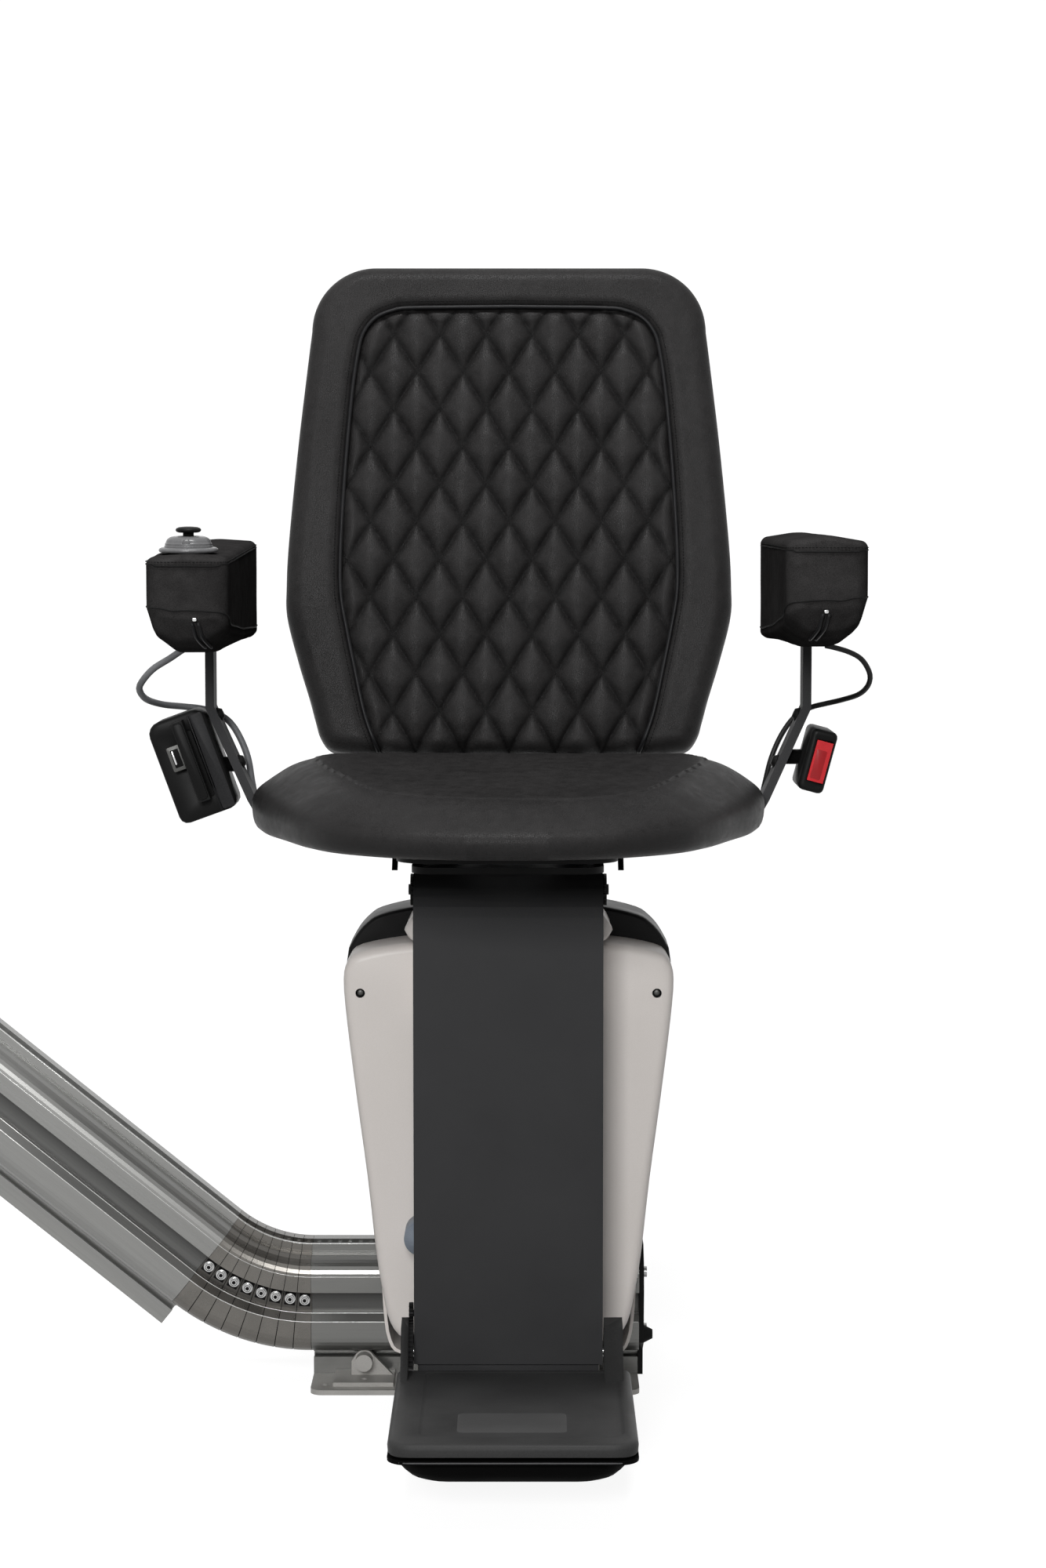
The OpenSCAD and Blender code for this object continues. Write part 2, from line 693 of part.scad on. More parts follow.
function top_outline(d) = mirrored(concat([[cover_half_w - d, top_cover_z + d]], smooth([
    [cover_half_w - 2 - d, top_cover_z + 14], [cover_half_w - 10 - d, top_cover_z + 28 - 0.4 * d],
    [cover_half_w - 20 - 0.8 * d, top_cover_z + 39 - 0.6 * d], [cover_half_w - 32 - 0.5 * d, top_cover_z + 46.5 - 0.8 * d],
    [93, top_cover_z + 54 - d], [60, top_cover_z + 57 - d], [25, top_cover_z + top_cover_h - d]], 3)));

module top_cover() {
    color("black") at_chair() difference() {
        to_front(chassis_y + 4) round_prism(top_outline(0), cover_joint + chassis_y + 3, 0, 4);
        to_front(chassis_y + 1) linear_extrude(cover_joint + chassis_y - 3) polygon(concat(
            [[-(cover_half_w - 2 * cover_wall), top_cover_z - 1], [cover_half_w - 2 * cover_wall, top_cover_z - 1]],
            [for (p = top_outline(cover_wall)) if (p[1] > top_cover_z + 4) p]));
        translate([0, -cover_joint, hub_z]) rod_y(hub_d + 2 * cover_gap, 40);
    }
}

function hub_outline(d) = mirrored(concat([[hub_cover_half_w - d, hub_cover_z + d]],
    arc_pts([hub_cover_half_w - hub_cover_r, hub_z + 26], hub_cover_r - d, 0, 80, 8)));

module hub_cover() {
    color("tan") at_chair() difference() {
        union() {
            to_front(-cover_front - part_gap) round_prism(hub_outline(0), 26, 0, 6);
            intersection() {
                to_front(-cover_joint - part_gap) round_prism(hub_outline(1), cover_front - cover_joint + 2, 0, 0);
                translate([-hub_cover_half_w, -cover_front - 1, cover_top_z + 17]) cube([2 * hub_cover_half_w, 100, 60]);
            }
        }
        to_front(-cover_joint + 1) linear_extrude(cover_front - cover_joint + 22) polygon(hub_outline(4));
        translate([0, -cover_front, hub_z]) rod_y(hub_d + 2 * cover_gap, 80);
        translate([-(frame_w + 4) / 2, -cover_front - 40, 380]) cube([frame_w + 4, 40 - part_gap + 2, 170]);
    }
}

module drive_motor() {
    color("dimgray") at_chair() translate([0, -(cover_joint + 2), pinion_z + 34]) {
        cylinder(d = 76, h = 92);
        translate([0, 0, 92]) cylinder(d = 52, h = 14);
        for (a = [0:30:330]) rotate(a) translate([37, -1.5, 6]) cube([3, 3, 80]);
    }
}

module gearbox() {
    color("silver") at_chair() difference() {
        union() {
            translate([-36, chassis_front - 96, pinion_z - 34]) cube([72, 96, 68]);
            translate([0, chassis_front - 20, pinion_z]) rod_y(60, 40);
        }
        translate([0, chassis_front - 20, pinion_z]) rod_y(pinion_shaft_d + 2 * fit_gap, 41);
    }
}

module batteries() {
    for (side = [-1, 1]) at_chair() translate([side * battery_x, -cover_joint + 4, battery_z]) {
        color("darkslategray") translate([-battery_w / 2, -50, -battery_h / 2]) cube([battery_w, 96, battery_h]);
        color("firebrick") translate([-18, -30, battery_h / 2]) cylinder(d = 10, h = 6);
        color("black") translate([18, -30, battery_h / 2]) cylinder(d = 10, h = 6);
    }
}

module control_board() {
    color("seagreen") at_chair() translate([-board_w / 2, -cover_front + 14, board_z]) cube([board_w, 2, board_h]);
    color("black") at_chair() for (i = [-2:2])
        translate([i * chip_pitch - chip_w / 2, -cover_front + 16, board_z + 6]) cube([chip_w, 10, board_h - 12]);
}

cap_x = -(frame_w / 2 + 17);
cap_z = 191;
cap_d = 32;

module service_cap() {
    at_chair() translate([cap_x, 0, cap_z]) {
        color("antiquewhite") translate([0, -cover_front - 19, 0]) rod_y(cap_d, 38);
        color("lightslategray") translate([0, -cover_front - 39, 0]) rod_y(cap_d - 8, 2);
    }
}

module guide_shoes() {
    color("ivory") at_chair() for (side = [-1, 1]) translate([side * 30 - 12, chassis_y, recess_z + 2])
        cube([24, recess_back - 0.5 - chassis_y, recess_h - 4]);
}

module roller_axles() {
    color("silver") at_chair() for (side = [-1, 1]) {
        translate([side * roller_dx, (chassis_front + load_y + load_w / 2) / 2, load_z])
            rod_y(roller_axle_d, load_y + load_w / 2 - chassis_front);
        translate([side * roller_dx, load_y - load_w / 2 - 3, load_z]) rod_y(roller_axle_d + 4, 4);
    }
}

module column_frame() {
    color("slategray") at_chair() difference() {
        union() {
            translate([-frame_w / 2, frame_web_y - 6, 110]) cube([frame_w, 6, column_top_z - 120]);
            for (side = [-1, 1]) translate([side * (frame_w / 2 - 3) - 3, column_front_y + 26, 150])
                cube([6, frame_web_y - column_front_y - 26, column_top_z - 160]);
            translate([-frame_w / 2, -swivel_y - 20, column_top_z - 20]) cube([frame_w, swivel_y + 20 + frame_web_y + 8, 9]);
            translate([-frame_w / 2, column_front_y + column_bend_r, column_top_z - 12])
                cube([frame_w, frame_web_y + 8 - column_front_y - column_bend_r, 12 - column_t]);
            translate([0, (frame_web_y + chassis_front) / 2 - 2, hub_z]) rod_y(hub_d, chassis_front - frame_web_y - 4);
        }
        translate([0, -swivel_y, column_top_z - 21]) cylinder(d = 20, h = 30);
    }
}

function column_path(depth) = concat([[column_front_y, column_bottom_z]],
    arc_pts([column_front_y + column_bend_r, column_top_z - column_bend_r], column_bend_r, 180, 90, 8),
    [[-150, column_top_z], [-150, column_top_z - depth]],
    arc_pts([column_front_y + column_bend_r, column_top_z - column_bend_r], column_bend_r - depth, 90, 180, 8),
    [[column_front_y + depth, column_bottom_z]]);

module column_plate() {
    color("dimgray") at_chair() difference() {
        union() {
            along_x(-column_w / 2, column_w) polygon(column_path(column_t));
            for (x = [-column_w / 2, column_w / 2 - column_t]) along_x(x, column_t) polygon(column_path(20));
        }
        translate([0, foot_hinge_y, foot_hinge_z]) rod_x(foot_pin_d, column_w + 10);
        translate([-column_w / 2, foot_hinge_y, foot_pinion_z]) rod_x(6 + 2 * fit_gap, 12);
        translate([0, -swivel_y, column_top_z]) cylinder(d = 20, h = 20, center = true);
    }
}

module seat_cheeks() {
    color("black") at_chair() translate([0, cheek_y, cheek_z]) {
        for (side = [-1, 1]) {
            translate([side * (column_w + cheek_t) / 2, 0, 0]) rod_x(30, cheek_t);
            translate([side * (column_w / 2 + cheek_t + 1), 0, 0]) rod_x(10, 2);
        }
        rod_x(10, column_w);
    }
}

module swivel_post() {
    color("silver") at_chair() translate([0, -swivel_y, 0]) {
        translate([0, 0, column_top_z - 20]) cylinder(d = 20, h = 20);
        translate([0, 0, column_top_z]) cylinder(d = 96, h = base_z - column_top_z - part_gap);
        translate([0, 0, base_z - part_gap]) cylinder(d = swivel_d, h = base_t + 3);
    }
}

module footrest_motor() {
    color("gray") at_chair() {
        difference() {
            translate([-column_w / 2 + column_t, foot_hinge_y - 7, foot_pinion_z - 14]) cube([50, 45, 28]);
            translate([-column_w / 2, foot_hinge_y, foot_pinion_z]) rod_x(6 + 2 * fit_gap, 40);
        }
        translate([-column_w / 2 + 52, foot_hinge_y + 12, foot_pinion_z]) rotate([0, 90, 0]) cylinder(d = 26, h = 60);
    }
}

module footrest_hinge_pin() {
    color("silver") at_chair() {
        right = column_w / 2 + 1 + 17;
        translate([(right + foot_gear_x - ear_t) / 2, foot_hinge_y, foot_hinge_z])
            rod_x(foot_pin_d, right - foot_gear_x + ear_t);
    }
}

module footrest_pinion() {
    color("goldenrod") at_chair() translate([0, foot_hinge_y, foot_pinion_z]) {
        along_x(foot_gear_x, foot_gear_w) rotate(-90)
            polygon(gear_outline(foot_pinion_teeth, foot_pinion_r, 0.7 * foot_module, 1.0 * foot_module, tooth_backlash));
        along_x(foot_gear_x, 22) circle(d = 6);
    }
}

module drive_pinion() {
    color("goldenrod") at_chair() translate([0, pinion_y, pinion_z]) {
        rotate([0, pinion_phase, 0]) along_y(-pinion_w / 2, pinion_w)
            rotate(90 + 180 / pinion_teeth) polygon(gear_outline(pinion_teeth, pinion_r, 0.8 * rack_module, 1.0 * rack_module, tooth_backlash));
        translate([0, (chassis_front - 35 - pinion_y) / 2, 0]) rod_y(pinion_shaft_d, pinion_y - chassis_front + 35);
    }
}

module load_roller(side) {
    color("black") at_chair() translate([side * roller_dx, load_y, load_z]) difference() {
        rod_y(2 * load_r, load_w);
        rod_y(roller_axle_d + 2 * fit_gap, load_w + 1);
    }
}

module load_roller_left() {
    load_roller(-1);
}

module load_roller_right() {
    load_roller(1);
}

module guide_roller(side) {
    color("black") at_chair() translate([side * roller_dx, guide_y, guide_z]) difference() {
        cylinder(r = guide_r, h = guide_w);
        translate([0, 0, -1]) cylinder(d = roller_axle_d + 2 * fit_gap, h = guide_w + 2);
    }
}

module guide_roller_left() {
    guide_roller(-1);
}

module guide_roller_right() {
    guide_roller(1);
}

// Seat base, swivelling on the post

module fold_lug(x0) {
    along_x(x0, lug_t) {
        translate([fold_y0, fold_z]) circle(lug_r);
        translate([fold_y0 - lug_r, base_top_z - 1]) square([2 * lug_r, fold_z - base_top_z + 1]);
    }
}

module seat_base() {
    color("dimgray") at_chair() difference() {
        union() {
            translate([0, base_rear_y - 64, base_z]) linear_extrude(base_t) round_square(2 * base_half_w, 128, 12);
            translate([0, base_rear_y - 127, base_z]) linear_extrude(base_t) round_square(2 * base_front_half_w, 254, 20);
            for (side = [-1, 1]) fold_lug(side * (lug_x + lug_t / 2) - lug_t / 2);
            translate([0, -swivel_y, base_top_z]) cylinder(d = swivel_d + 24, h = 5);
            for (side = [-1, 1]) along_x(side * (base_front_half_w - 5) - 4, 8) {
                translate([lever_y, lever_z]) circle(lever_lug_r);
                translate([lever_y - lever_lug_r, base_top_z - 1]) square([2 * lever_lug_r, lever_z - base_top_z + 1]);
            }
        }
        translate([0, -swivel_y, base_z - 1]) cylinder(d = swivel_d + 2 * fit_gap, h = 20);
        translate([0, lever_y, lever_z]) rod_x(lever_shaft_d + 2 * fit_gap, 2 * base_half_w + 2);
        translate([0, fold_y0, fold_z]) rod_x(fold_pin_d, 2 * base_half_w);
    }
}

module hinge_pins() {
    color("silver") at_chair() for (side = [-1, 1]) {
        translate([side * (lug_x + lug_t + 0.5), fold_y0, fold_z]) rod_x(fold_pin_d, 2 * lug_t + 1);
        translate([side * bar_top_x, -arm_pivot_y, arm_pivot_z]) rod_x(arm_pin_d, core_w);
    }
}

// Cross shaft with a release tab at each end
module swivel_lever() {
    reach = base_front_half_w + 18;
    color("black") at_chair() {
        translate([0, lever_y, lever_z]) rod_x(lever_shaft_d, 2 * reach);
        for (side = [-1, 1]) along_x(side * (reach - 2.5) - 2.5, 5) translate([lever_y, lever_z]) {
            circle(6);
            polygon([[-5, -3], [5, -3], [-9, -13], [-15, -12]]);
        }
    }
}

module in_back() {
    at_chair() translate([0, back_y0, back_z0]) rotate([-back_lean, 0, 0]) children();
}

module back_frame() {
    rise = [sin(back_lean), cos(back_lean)];
    rear = [cos(back_lean), -sin(back_lean)] * (back_t + shell_t + back_bar_t / 2);
    foot_z = base_top_z + back_bar_t / 2;
    path = [[-126, foot_z], [-93, foot_z], [-93, foot_z + 20], [back_y0, back_z0] + rear - 12 * rise,
        [back_y0, back_z0] + rear + 300 * rise];
    color("black") at_chair() for (side = [-1, 1]) along_x(side * 62 - 15, 30) polygon(strip(path, back_bar_t));
}

function back_half() = concat(smooth([[60, -8], [150, -8], [170, -4],
    [back_half_w - 34, 8], [back_half_w - 29, 24], [back_half_w - 23, 46], [back_half_w - 12, 82],
    [back_half_w - 1, 125], [back_half_w, 155], [back_half_w - 2, 200], [back_half_w - 10, 290],
    [back_half_w - 19, 372], [back_half_w - 23, back_len - back_corner_r]], 2),
    arc_pts([back_half_w - 23 - back_corner_r, back_len - back_corner_r], back_corner_r, 10, 90, 7),
    [[60, back_len + 1]]);

module back_cushion() {
    color("#2c2c2c") in_back() to_front(back_t) round_prism(mirrored(back_half()), back_t, 8, 16, 4);
}

module back_shell() {
    color("black") in_back() to_front(back_t + shell_t) round_prism(inset(mirrored(back_half()), 6), shell_t, 8, 0, 3);
}

// Arm bars, bent from flat steel

function bar_path(side) = [for (p = concat([[bar_top_x, arm_pivot_z], [bar_top_x, bar_bend_z], [bar_low_x, bar_run_z + 10],
    [bar_low_x - 4, bar_run_z + 3], [bar_low_x - 12, bar_run_z]], [[leg_x + 6, bar_run_z], [leg_x, bar_run_z - 6],
    [leg_x, foot_run_z + 6], [leg_x - 6, foot_run_z], [lug_x + lug_t + 2, foot_run_z]])) [side * p[0], p[1]]];

// The slanted stretch of an arm bar: its angle from upright, and its place at height z
slant_z = bar_run_z + 10;
slant_angle = atan((bar_top_x - bar_low_x) / (bar_bend_z - slant_z));
function slant_x(z) = bar_low_x + (bar_top_x - bar_low_x) * (z - slant_z) / (bar_bend_z - slant_z);

module arm_bar(side) {
    color("dimgray") at_chair() difference() {
        union() {
            along_y(-arm_pivot_y - bar_w / 2, bar_w) polygon(strip(bar_path(side), bar_t));
            translate([side * bar_top_x, -arm_pivot_y, arm_pivot_z]) rod_x(bar_w, bar_t);
        }
        translate([side * bar_top_x, -arm_pivot_y, arm_pivot_z]) rod_x(arm_pin_d, 3 * bar_t);
    }
}

module arm_bar_left() {
    arm_bar(-1);
}

module arm_bar_right() {
    arm_bar(1);
}

module arm_bar_bolts() {
    color("black") at_chair() for (side = [-1, 1]) {
        for (z = [637, 681]) translate([side * slant_x(z), -arm_pivot_y, z])
            rotate([0, -side * (90 - slant_angle), 0]) translate([0, 0, bar_t / 2]) cylinder(d1 = 14, d2 = 8, h = 4);
        for (dy = [-6, 6]) translate([side * 94, -arm_pivot_y + dy, foot_run_z + bar_t / 2]) cylinder(d = 9, h = 3);
    }
}

// Belt

reel_tilt = -20;
reel_z = 636;
reel_c = [-(slant_x(reel_z) + reel_w / 2 + 12), -arm_pivot_y, reel_z];

module at_reel() {
    at_chair() translate(reel_c) rotate([0, reel_tilt, 0]) children();
}

module belt_reel_case() {
    color("#303030") at_reel() difference() {
        translate([0, reel_d / 2, 0]) to_front(0) translate([0, 0, 0])
            round_prism(mirrored(concat(arc_pts([reel_w / 2 - 8, -reel_h / 2 + 8], 8, -90, 0, 3),
                arc_pts([reel_w / 2 - 12, reel_h / 2 - 12], 12, 0, 90, 4))), reel_d, 3, 3, 2);
        rod_y(46, reel_d - 6);
        translate([11, -5, 3]) cube([5, reel_d, 56], center = true);
    }
    color("#303030") bar_boss(-1, reel_z, 16);
}

// Boss that joins the reel or the buckle to the outer face of its arm bar
module bar_boss(side, z, len) {
    at_chair() difference() {
        translate([side * (slant_x(z) + len / 2), -arm_pivot_y, z]) rod_x(14, len);
        along_y(-arm_pivot_y - bar_w / 2, bar_w) polygon(strip(bar_path(side), bar_t));
    }
}

module belt_spool() {
    color("black") at_reel() {
        rod_y(36, reel_d - 10);
        rod_y(10, reel_d - 6);
    }
}

module belt_tongue() {
    color("#202020") at_reel() translate([2, -reel_d / 2 - 9, 5]) cube([11, 18, 77], center = true);
    color("silver") at_reel() translate([-9.5, -reel_d / 2 - 9, 12]) cube([13, 2.4, 24], center = true);
}

buckle_z = 643;
buckle_c = [slant_x(buckle_z) + buckle_w / 2 + 16, -arm_pivot_y - 20, buckle_z];

module at_buckle() {
    at_chair() translate(buckle_c) rotate([0, 15, 0]) children();
}

module buckle_body() {
    color("black") at_buckle() difference() {
        translate([0, buckle_len / 2, 0]) to_front(0)
            round_prism(mirrored(concat(arc_pts([buckle_w / 2 - 5, -buckle_h / 2 + 5], 5, -90, 0, 3),
                arc_pts([buckle_w / 2 - 5, buckle_h / 2 - 5], 5, 0, 90, 3))), buckle_len, 3, 3, 2);
        translate([2, -buckle_len / 2, 0]) cube([15 + 1, 2 * (12 + button_travel), 38 + 1], center = true);
    }
    color("black") bar_boss(1, buckle_z, 17);
}

module buckle_button() {
    color("red") at_buckle() translate([2, -buckle_len / 2 + 5, 0]) cube([15, 12, 38], center = true);
}

module cable_left() {
    color("gray") at_chair() cable(cable_left_route, 6.3);
}

module cable_right() {
    color("black") at_chair() cable(cable_right_route, 5);
}

// Folding seat

function seat_top(y) = seat_under_z + seat_front_h + (seat_rear_h - seat_front_h) * (y + seat_front) / (seat_front - seat_rear);

function seat_half() = smooth([[35, -seat_front], [95, -seat_front + 17], [150, -seat_front + 56],
    [seat_half_w - 55, -seat_front + 102], [seat_half_w - 30, -325], [seat_half_w - 11, -275],
    [seat_half_w, -225], [seat_half_w - 3, -200], [seat_half_w - 27, -seat_rear - 24],
    [seat_half_w - 56, -seat_rear - 4], [seat_half_w - 90, -seat_rear]], 3);

function seat_ring(d, f) = [for (p = inset(mirrored(seat_half()), d))
    [p[0], p[1], seat_under_z + f * (seat_top(p[1]) - seat_under_z)]];

module seat_cushion() {
    color("#2c2c2c") at_chair() difference() {
        skin([seat_ring(9, 0), seat_ring(4, 0.06), seat_ring(1, 0.15), seat_ring(0, 0.28), seat_ring(0, 0.42),
            seat_ring(3, 0.54), seat_ring(9, 0.65), seat_ring(18, 0.77), seat_ring(30, 0.9)]);
        for (side = [-1, 1])
            translate([side * (lug_x + lug_t + 0.5) - lug_t - 1.5, fold_y0 - lug_r - 17, seat_under_z - 1])
                cube([2 * lug_t + 3, 95, fold_z - seat_under_z + lug_r + 3]);
        for (side = [-1, 1])
            translate([side * (arm_slot_x + arm_slot_w / 2) - arm_slot_w / 2, -arm_pivot_y - bar_w / 2 - 5, seat_under_z - 1])
                cube([arm_slot_w, arm_pivot_y + bar_w / 2 + 15 - fold_y, bar_run_z + bar_t / 2 + 6 - seat_under_z]);
    }
}

module seat_pan() {
    color("black") at_chair() difference() {
        union() {
            translate([0, (fold_y0 - lug_r - 1 - seat_front + 50) / 2, seat_under_z - pan_t]) linear_extrude(pan_t)
                round_square(pan_w, seat_front - 50 - fold_y - lug_r - 1, 30);
            for (side = [-1, 1]) along_x(side * (lug_x + 1.5 * lug_t + 1) - lug_t / 2, lug_t) {
                translate([fold_y0, fold_z]) circle(lug_r);
                translate([fold_y0 - lug_r - 16, seat_under_z - pan_t]) square([lug_r + 16 + 6, fold_z - seat_under_z + pan_t]);
            }
        }
        translate([0, fold_y0, fold_z]) rod_x(fold_pin_d + 2 * fit_gap, 2 * base_half_w + 40);
    }
}

// Armrests

// Height of the armrest's underside at y, along its middle and along its inner edge
function arm_mid_z(y) = lookup(y, [[-arm_front, 785], [-arm_front + 8, 771], [-arm_front + 28, 762],
    [-arm_front + 60, 756], [-arm_front + 120, 752], [-arm_rear, 751]]);
function arm_edge_z(y) = lookup(y, [[-arm_front, 786], [-arm_front + 40, 773], [-arm_front + 160, 761],
    [-arm_front + 290, 753], [-arm_rear, 753]]);

// One section of the armrest at y, moved in by d
function arm_section(side, y, d) = let (zm = arm_mid_z(y), zi = arm_edge_z(y), half = arm_w / 2, rise = 797 - zm,
    pts = concat([[-half + 2, zi + 1], [-half + 17, zm + 0.3], [half - 21, zm], [half - 9, zm + 0.16 * rise],
        [half - 2, zm + 0.45 * rise], [half, 798]],
        arc_pts([half - 12, 826], 12, 0, 45, 2), [[half - 16, arm_top_z - 5], [0, arm_top_z], [-half + 16, arm_top_z - 5]],
        arc_pts([-half + 12, 826], 12, 135, 180, 2), [[-half, zi + 10]]))
    [for (p = inset(pts, d)) [side * p[0], y, p[1]]];

// The left armrest sits a little lower at its front
module at_arm(side) {
    at_chair() translate([0, -arm_pivot_y, arm_pivot_z]) rotate([side < 0 ? left_droop : 0, 0, 0])
        translate([0, arm_pivot_y, -arm_pivot_z]) children();
}

module arm_pad(side) {
    depth = arm_front - arm_rear;
    rings = [for (q = [[0, 5], [3, 2.5], [9, 0], [depth - 290, 0], [depth - 160, 0], [depth - 120, 0], [depth - 60, 0],
        [depth - 28, 0], [depth - 8, 0.6], [depth - 2, 2], [depth, 4]]) arm_section(side, -arm_rear - q[0], q[1])];
    color("#2c2c2c") at_arm(side) translate([side * arm_mid, 0, 0]) difference() {
        skin(side > 0 ? rings : [for (i = [len(rings) - 1:-1:0]) rings[i]]);
        translate([side * (bar_top_x - arm_mid), -arm_pivot_y, 0])
            translate([-core_w / 2, -core_front, arm_pivot_z - 17]) cube([core_w, core_front + 150, 36]);
        translate([side * (bar_top_x - arm_mid), -arm_pivot_y, 0])
            translate([-bar_slot / 2, -bar_w / 2 - 3, 700]) cube([bar_slot, 200, arm_pivot_z - 700]);
        if (side < 0) translate([stick_x + arm_mid, stick_y, stick_z - 5]) cylinder(d = 51, h = 30);
    }
}

module arm_pad_left() {
    arm_pad(-1);
}

module arm_pad_right() {
    arm_pad(1);
}

module arm_core(side) {
    color("gray") at_arm(side) translate([side * bar_top_x, -arm_pivot_y, arm_pivot_z]) difference() {
        translate([-core_w / 2, -core_front, -17]) cube([core_w, core_front + 50, 36]);
        translate([-bar_slot / 2, -bar_w / 2 - 1, -25]) cube([bar_slot, 100, 25 + bar_w / 2 + 1]);
        rod_x(arm_pin_d + 2 * fit_gap, core_w + 2);
    }
}

module arm_core_left() {
    arm_core(-1);
}

module arm_core_right() {
    arm_core(1);
}

module joystick_base() {
    at_arm(-1) translate([stick_x, stick_y, stick_z]) difference() {
        union() {
            color("#404040") translate([0, 0, -5]) cylinder(d = 51, h = 5);
            color("gray") cylinder(d1 = 41, d2 = 26, h = 10);
        }
        translate([0, 0, -3]) cylinder(d = 18, h = 20);
        rod_y(stick_pin_d + 2 * fit_gap, 26);
    }
}

module joystick() {
    color("#303030") at_arm(-1) translate([stick_x, stick_y, stick_z]) {
        rod_y(stick_pin_d, 24);
        translate([0, 0, -1.5]) cylinder(d = 9.5, h = 15.5);
        translate([0, 0, 13.5]) cylinder(d1 = knob_d - 4, d2 = knob_d, h = 2.5);
        translate([0, 0, 16]) cylinder(d1 = knob_d, d2 = knob_d - 8, h = 2.5);
    }
}

// Footrest

tread_corner_r = 18;
dish_corner_r = 50;
dish_t = 3;

function tread_plan(d, r = tread_corner_r) = inset([for (p = concat(
    [[-tread_half_w, tread_rear_y], [-tread_half_w, -tread_front + r]],
    arc_pts([-tread_half_w + r, -tread_front + r], r, 190, 270, 5),
    arc_pts([tread_half_w - r, -tread_front + r], r, 270, 350, 5),
    [[tread_half_w, -tread_front + r], [tread_half_w, tread_rear_y]])) p + [tread_shift, 0]], d);

module footrest_tread() {
    ear_right_w = 17;
    color("gray") at_chair() {
        at_tray_posts() translate([0, 0, tread_z - 3 - 22]) difference() {
            cylinder(d = tray_post_d + 6, h = 22);
            translate([0, 0, -1]) cylinder(d = tray_post_d + 2 * fit_gap, h = 22);
        }
        difference() {
            union() {
                translate([0, 0, tread_z - skirt_h]) round_prism(tread_plan(2), skirt_h, 0, 3, 3);
                along_x(foot_gear_x - ear_t, ear_t) ear_profile();
                along_x(column_w / 2 + 1, ear_right_w) ear_profile();
            }
            translate([0, 0, tread_z - skirt_h - 1]) linear_extrude(skirt_h - 2) polygon(tread_plan(5));
            translate([0, foot_hinge_y, foot_hinge_z]) rod_x(foot_pin_d + 2 * fit_gap, 400);
        }
        difference() {
            along_x(foot_gear_x, foot_gear_w) translate([foot_hinge_y, foot_hinge_z]) intersection() {
                rotate(90 + 180 / sector_teeth) polygon(gear_outline(sector_teeth, sector_r, 0.7 * foot_module, 1.0 * foot_module, tooth_backlash));
                union() {
                    circle(18);
                    polygon([[0, 0], [14, 42], [-50, 42], [-50, -14]]);
                }
            }
            translate([0, foot_hinge_y, foot_hinge_z]) rod_x(foot_pin_d + 2 * fit_gap, 400);
        }
    }
}

module ear_profile() {
    translate([foot_hinge_y, foot_hinge_z]) circle(16);
    polygon([[foot_hinge_y + 10, tread_z - skirt_h], [foot_hinge_y + 16, foot_hinge_z], [foot_hinge_y - 8, foot_hinge_z + 34],
        [foot_hinge_y - 30, foot_hinge_z + 30], [foot_hinge_y - 60, tread_z], [foot_hinge_y - 60, tread_z - skirt_h]]);
}

// Places of the posts that guide the safety tray
module at_tray_posts() {
    for (x = [-65, 65], y = [-290, -450]) translate([x + tread_shift, y, 0]) children();
}

// Rings of the safety tray's dish, moved in by d, from its bottom up to z
function dish_rings(d, z) = concat([for (q = [[42, 0], [29, 2], [18, 6], [11, 12], [8, 20]])
    lift(tread_plan(q[0] + d, dish_corner_r), tray_bottom_z + q[1] + d)], [lift(tread_plan(8 + d, dish_corner_r), z)]);

module footrest_tray() {
    color("black") at_chair() at_tray_posts() translate([0, 0, tray_bottom_z + 3])
        cylinder(d = tray_post_d, h = tread_z - 8 - tray_bottom_z - 3);
    color("black") at_chair() difference() {
        union() {
            translate([0, 0, tray_lip_z - 3]) linear_extrude(3) polygon(tread_plan(0));
            skin(dish_rings(0, tray_lip_z - 2));
        }
        skin(dish_rings(dish_t, tread_z));
    }
}

rail_level();
rail_incline();
curve_links();
rail_screws();
drive_rack();
rail_end_plate();
end_stop_bumper();
foot_plate();
foot_clamps();
clamp_bolts();
chassis_plate();
front_cover();
rear_cover();
top_cover();
hub_cover();
drive_motor();
gearbox();
batteries();
control_board();
service_cap();
guide_shoes();
roller_axles();
column_frame();
column_plate();
seat_cheeks();
swivel_post();
footrest_motor();
footrest_hinge_pin();
footrest_pinion();
drive_pinion();
load_roller_left();
load_roller_right();
guide_roller_left();
guide_roller_right();
seat_base();
hinge_pins();
swivel_lever();
back_frame();
back_shell();
back_cushion();
arm_bar_left();
arm_bar_right();
arm_bar_bolts();
belt_reel_case();
belt_spool();
belt_tongue();
buckle_body();
buckle_button();
cable_left();
cable_right();
seat_pan();
seat_cushion();
arm_pad_left();
arm_core_left();
arm_pad_right();
arm_core_right();
joystick_base();
joystick();
footrest_tread();
footrest_tray();
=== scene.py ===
import json
import math

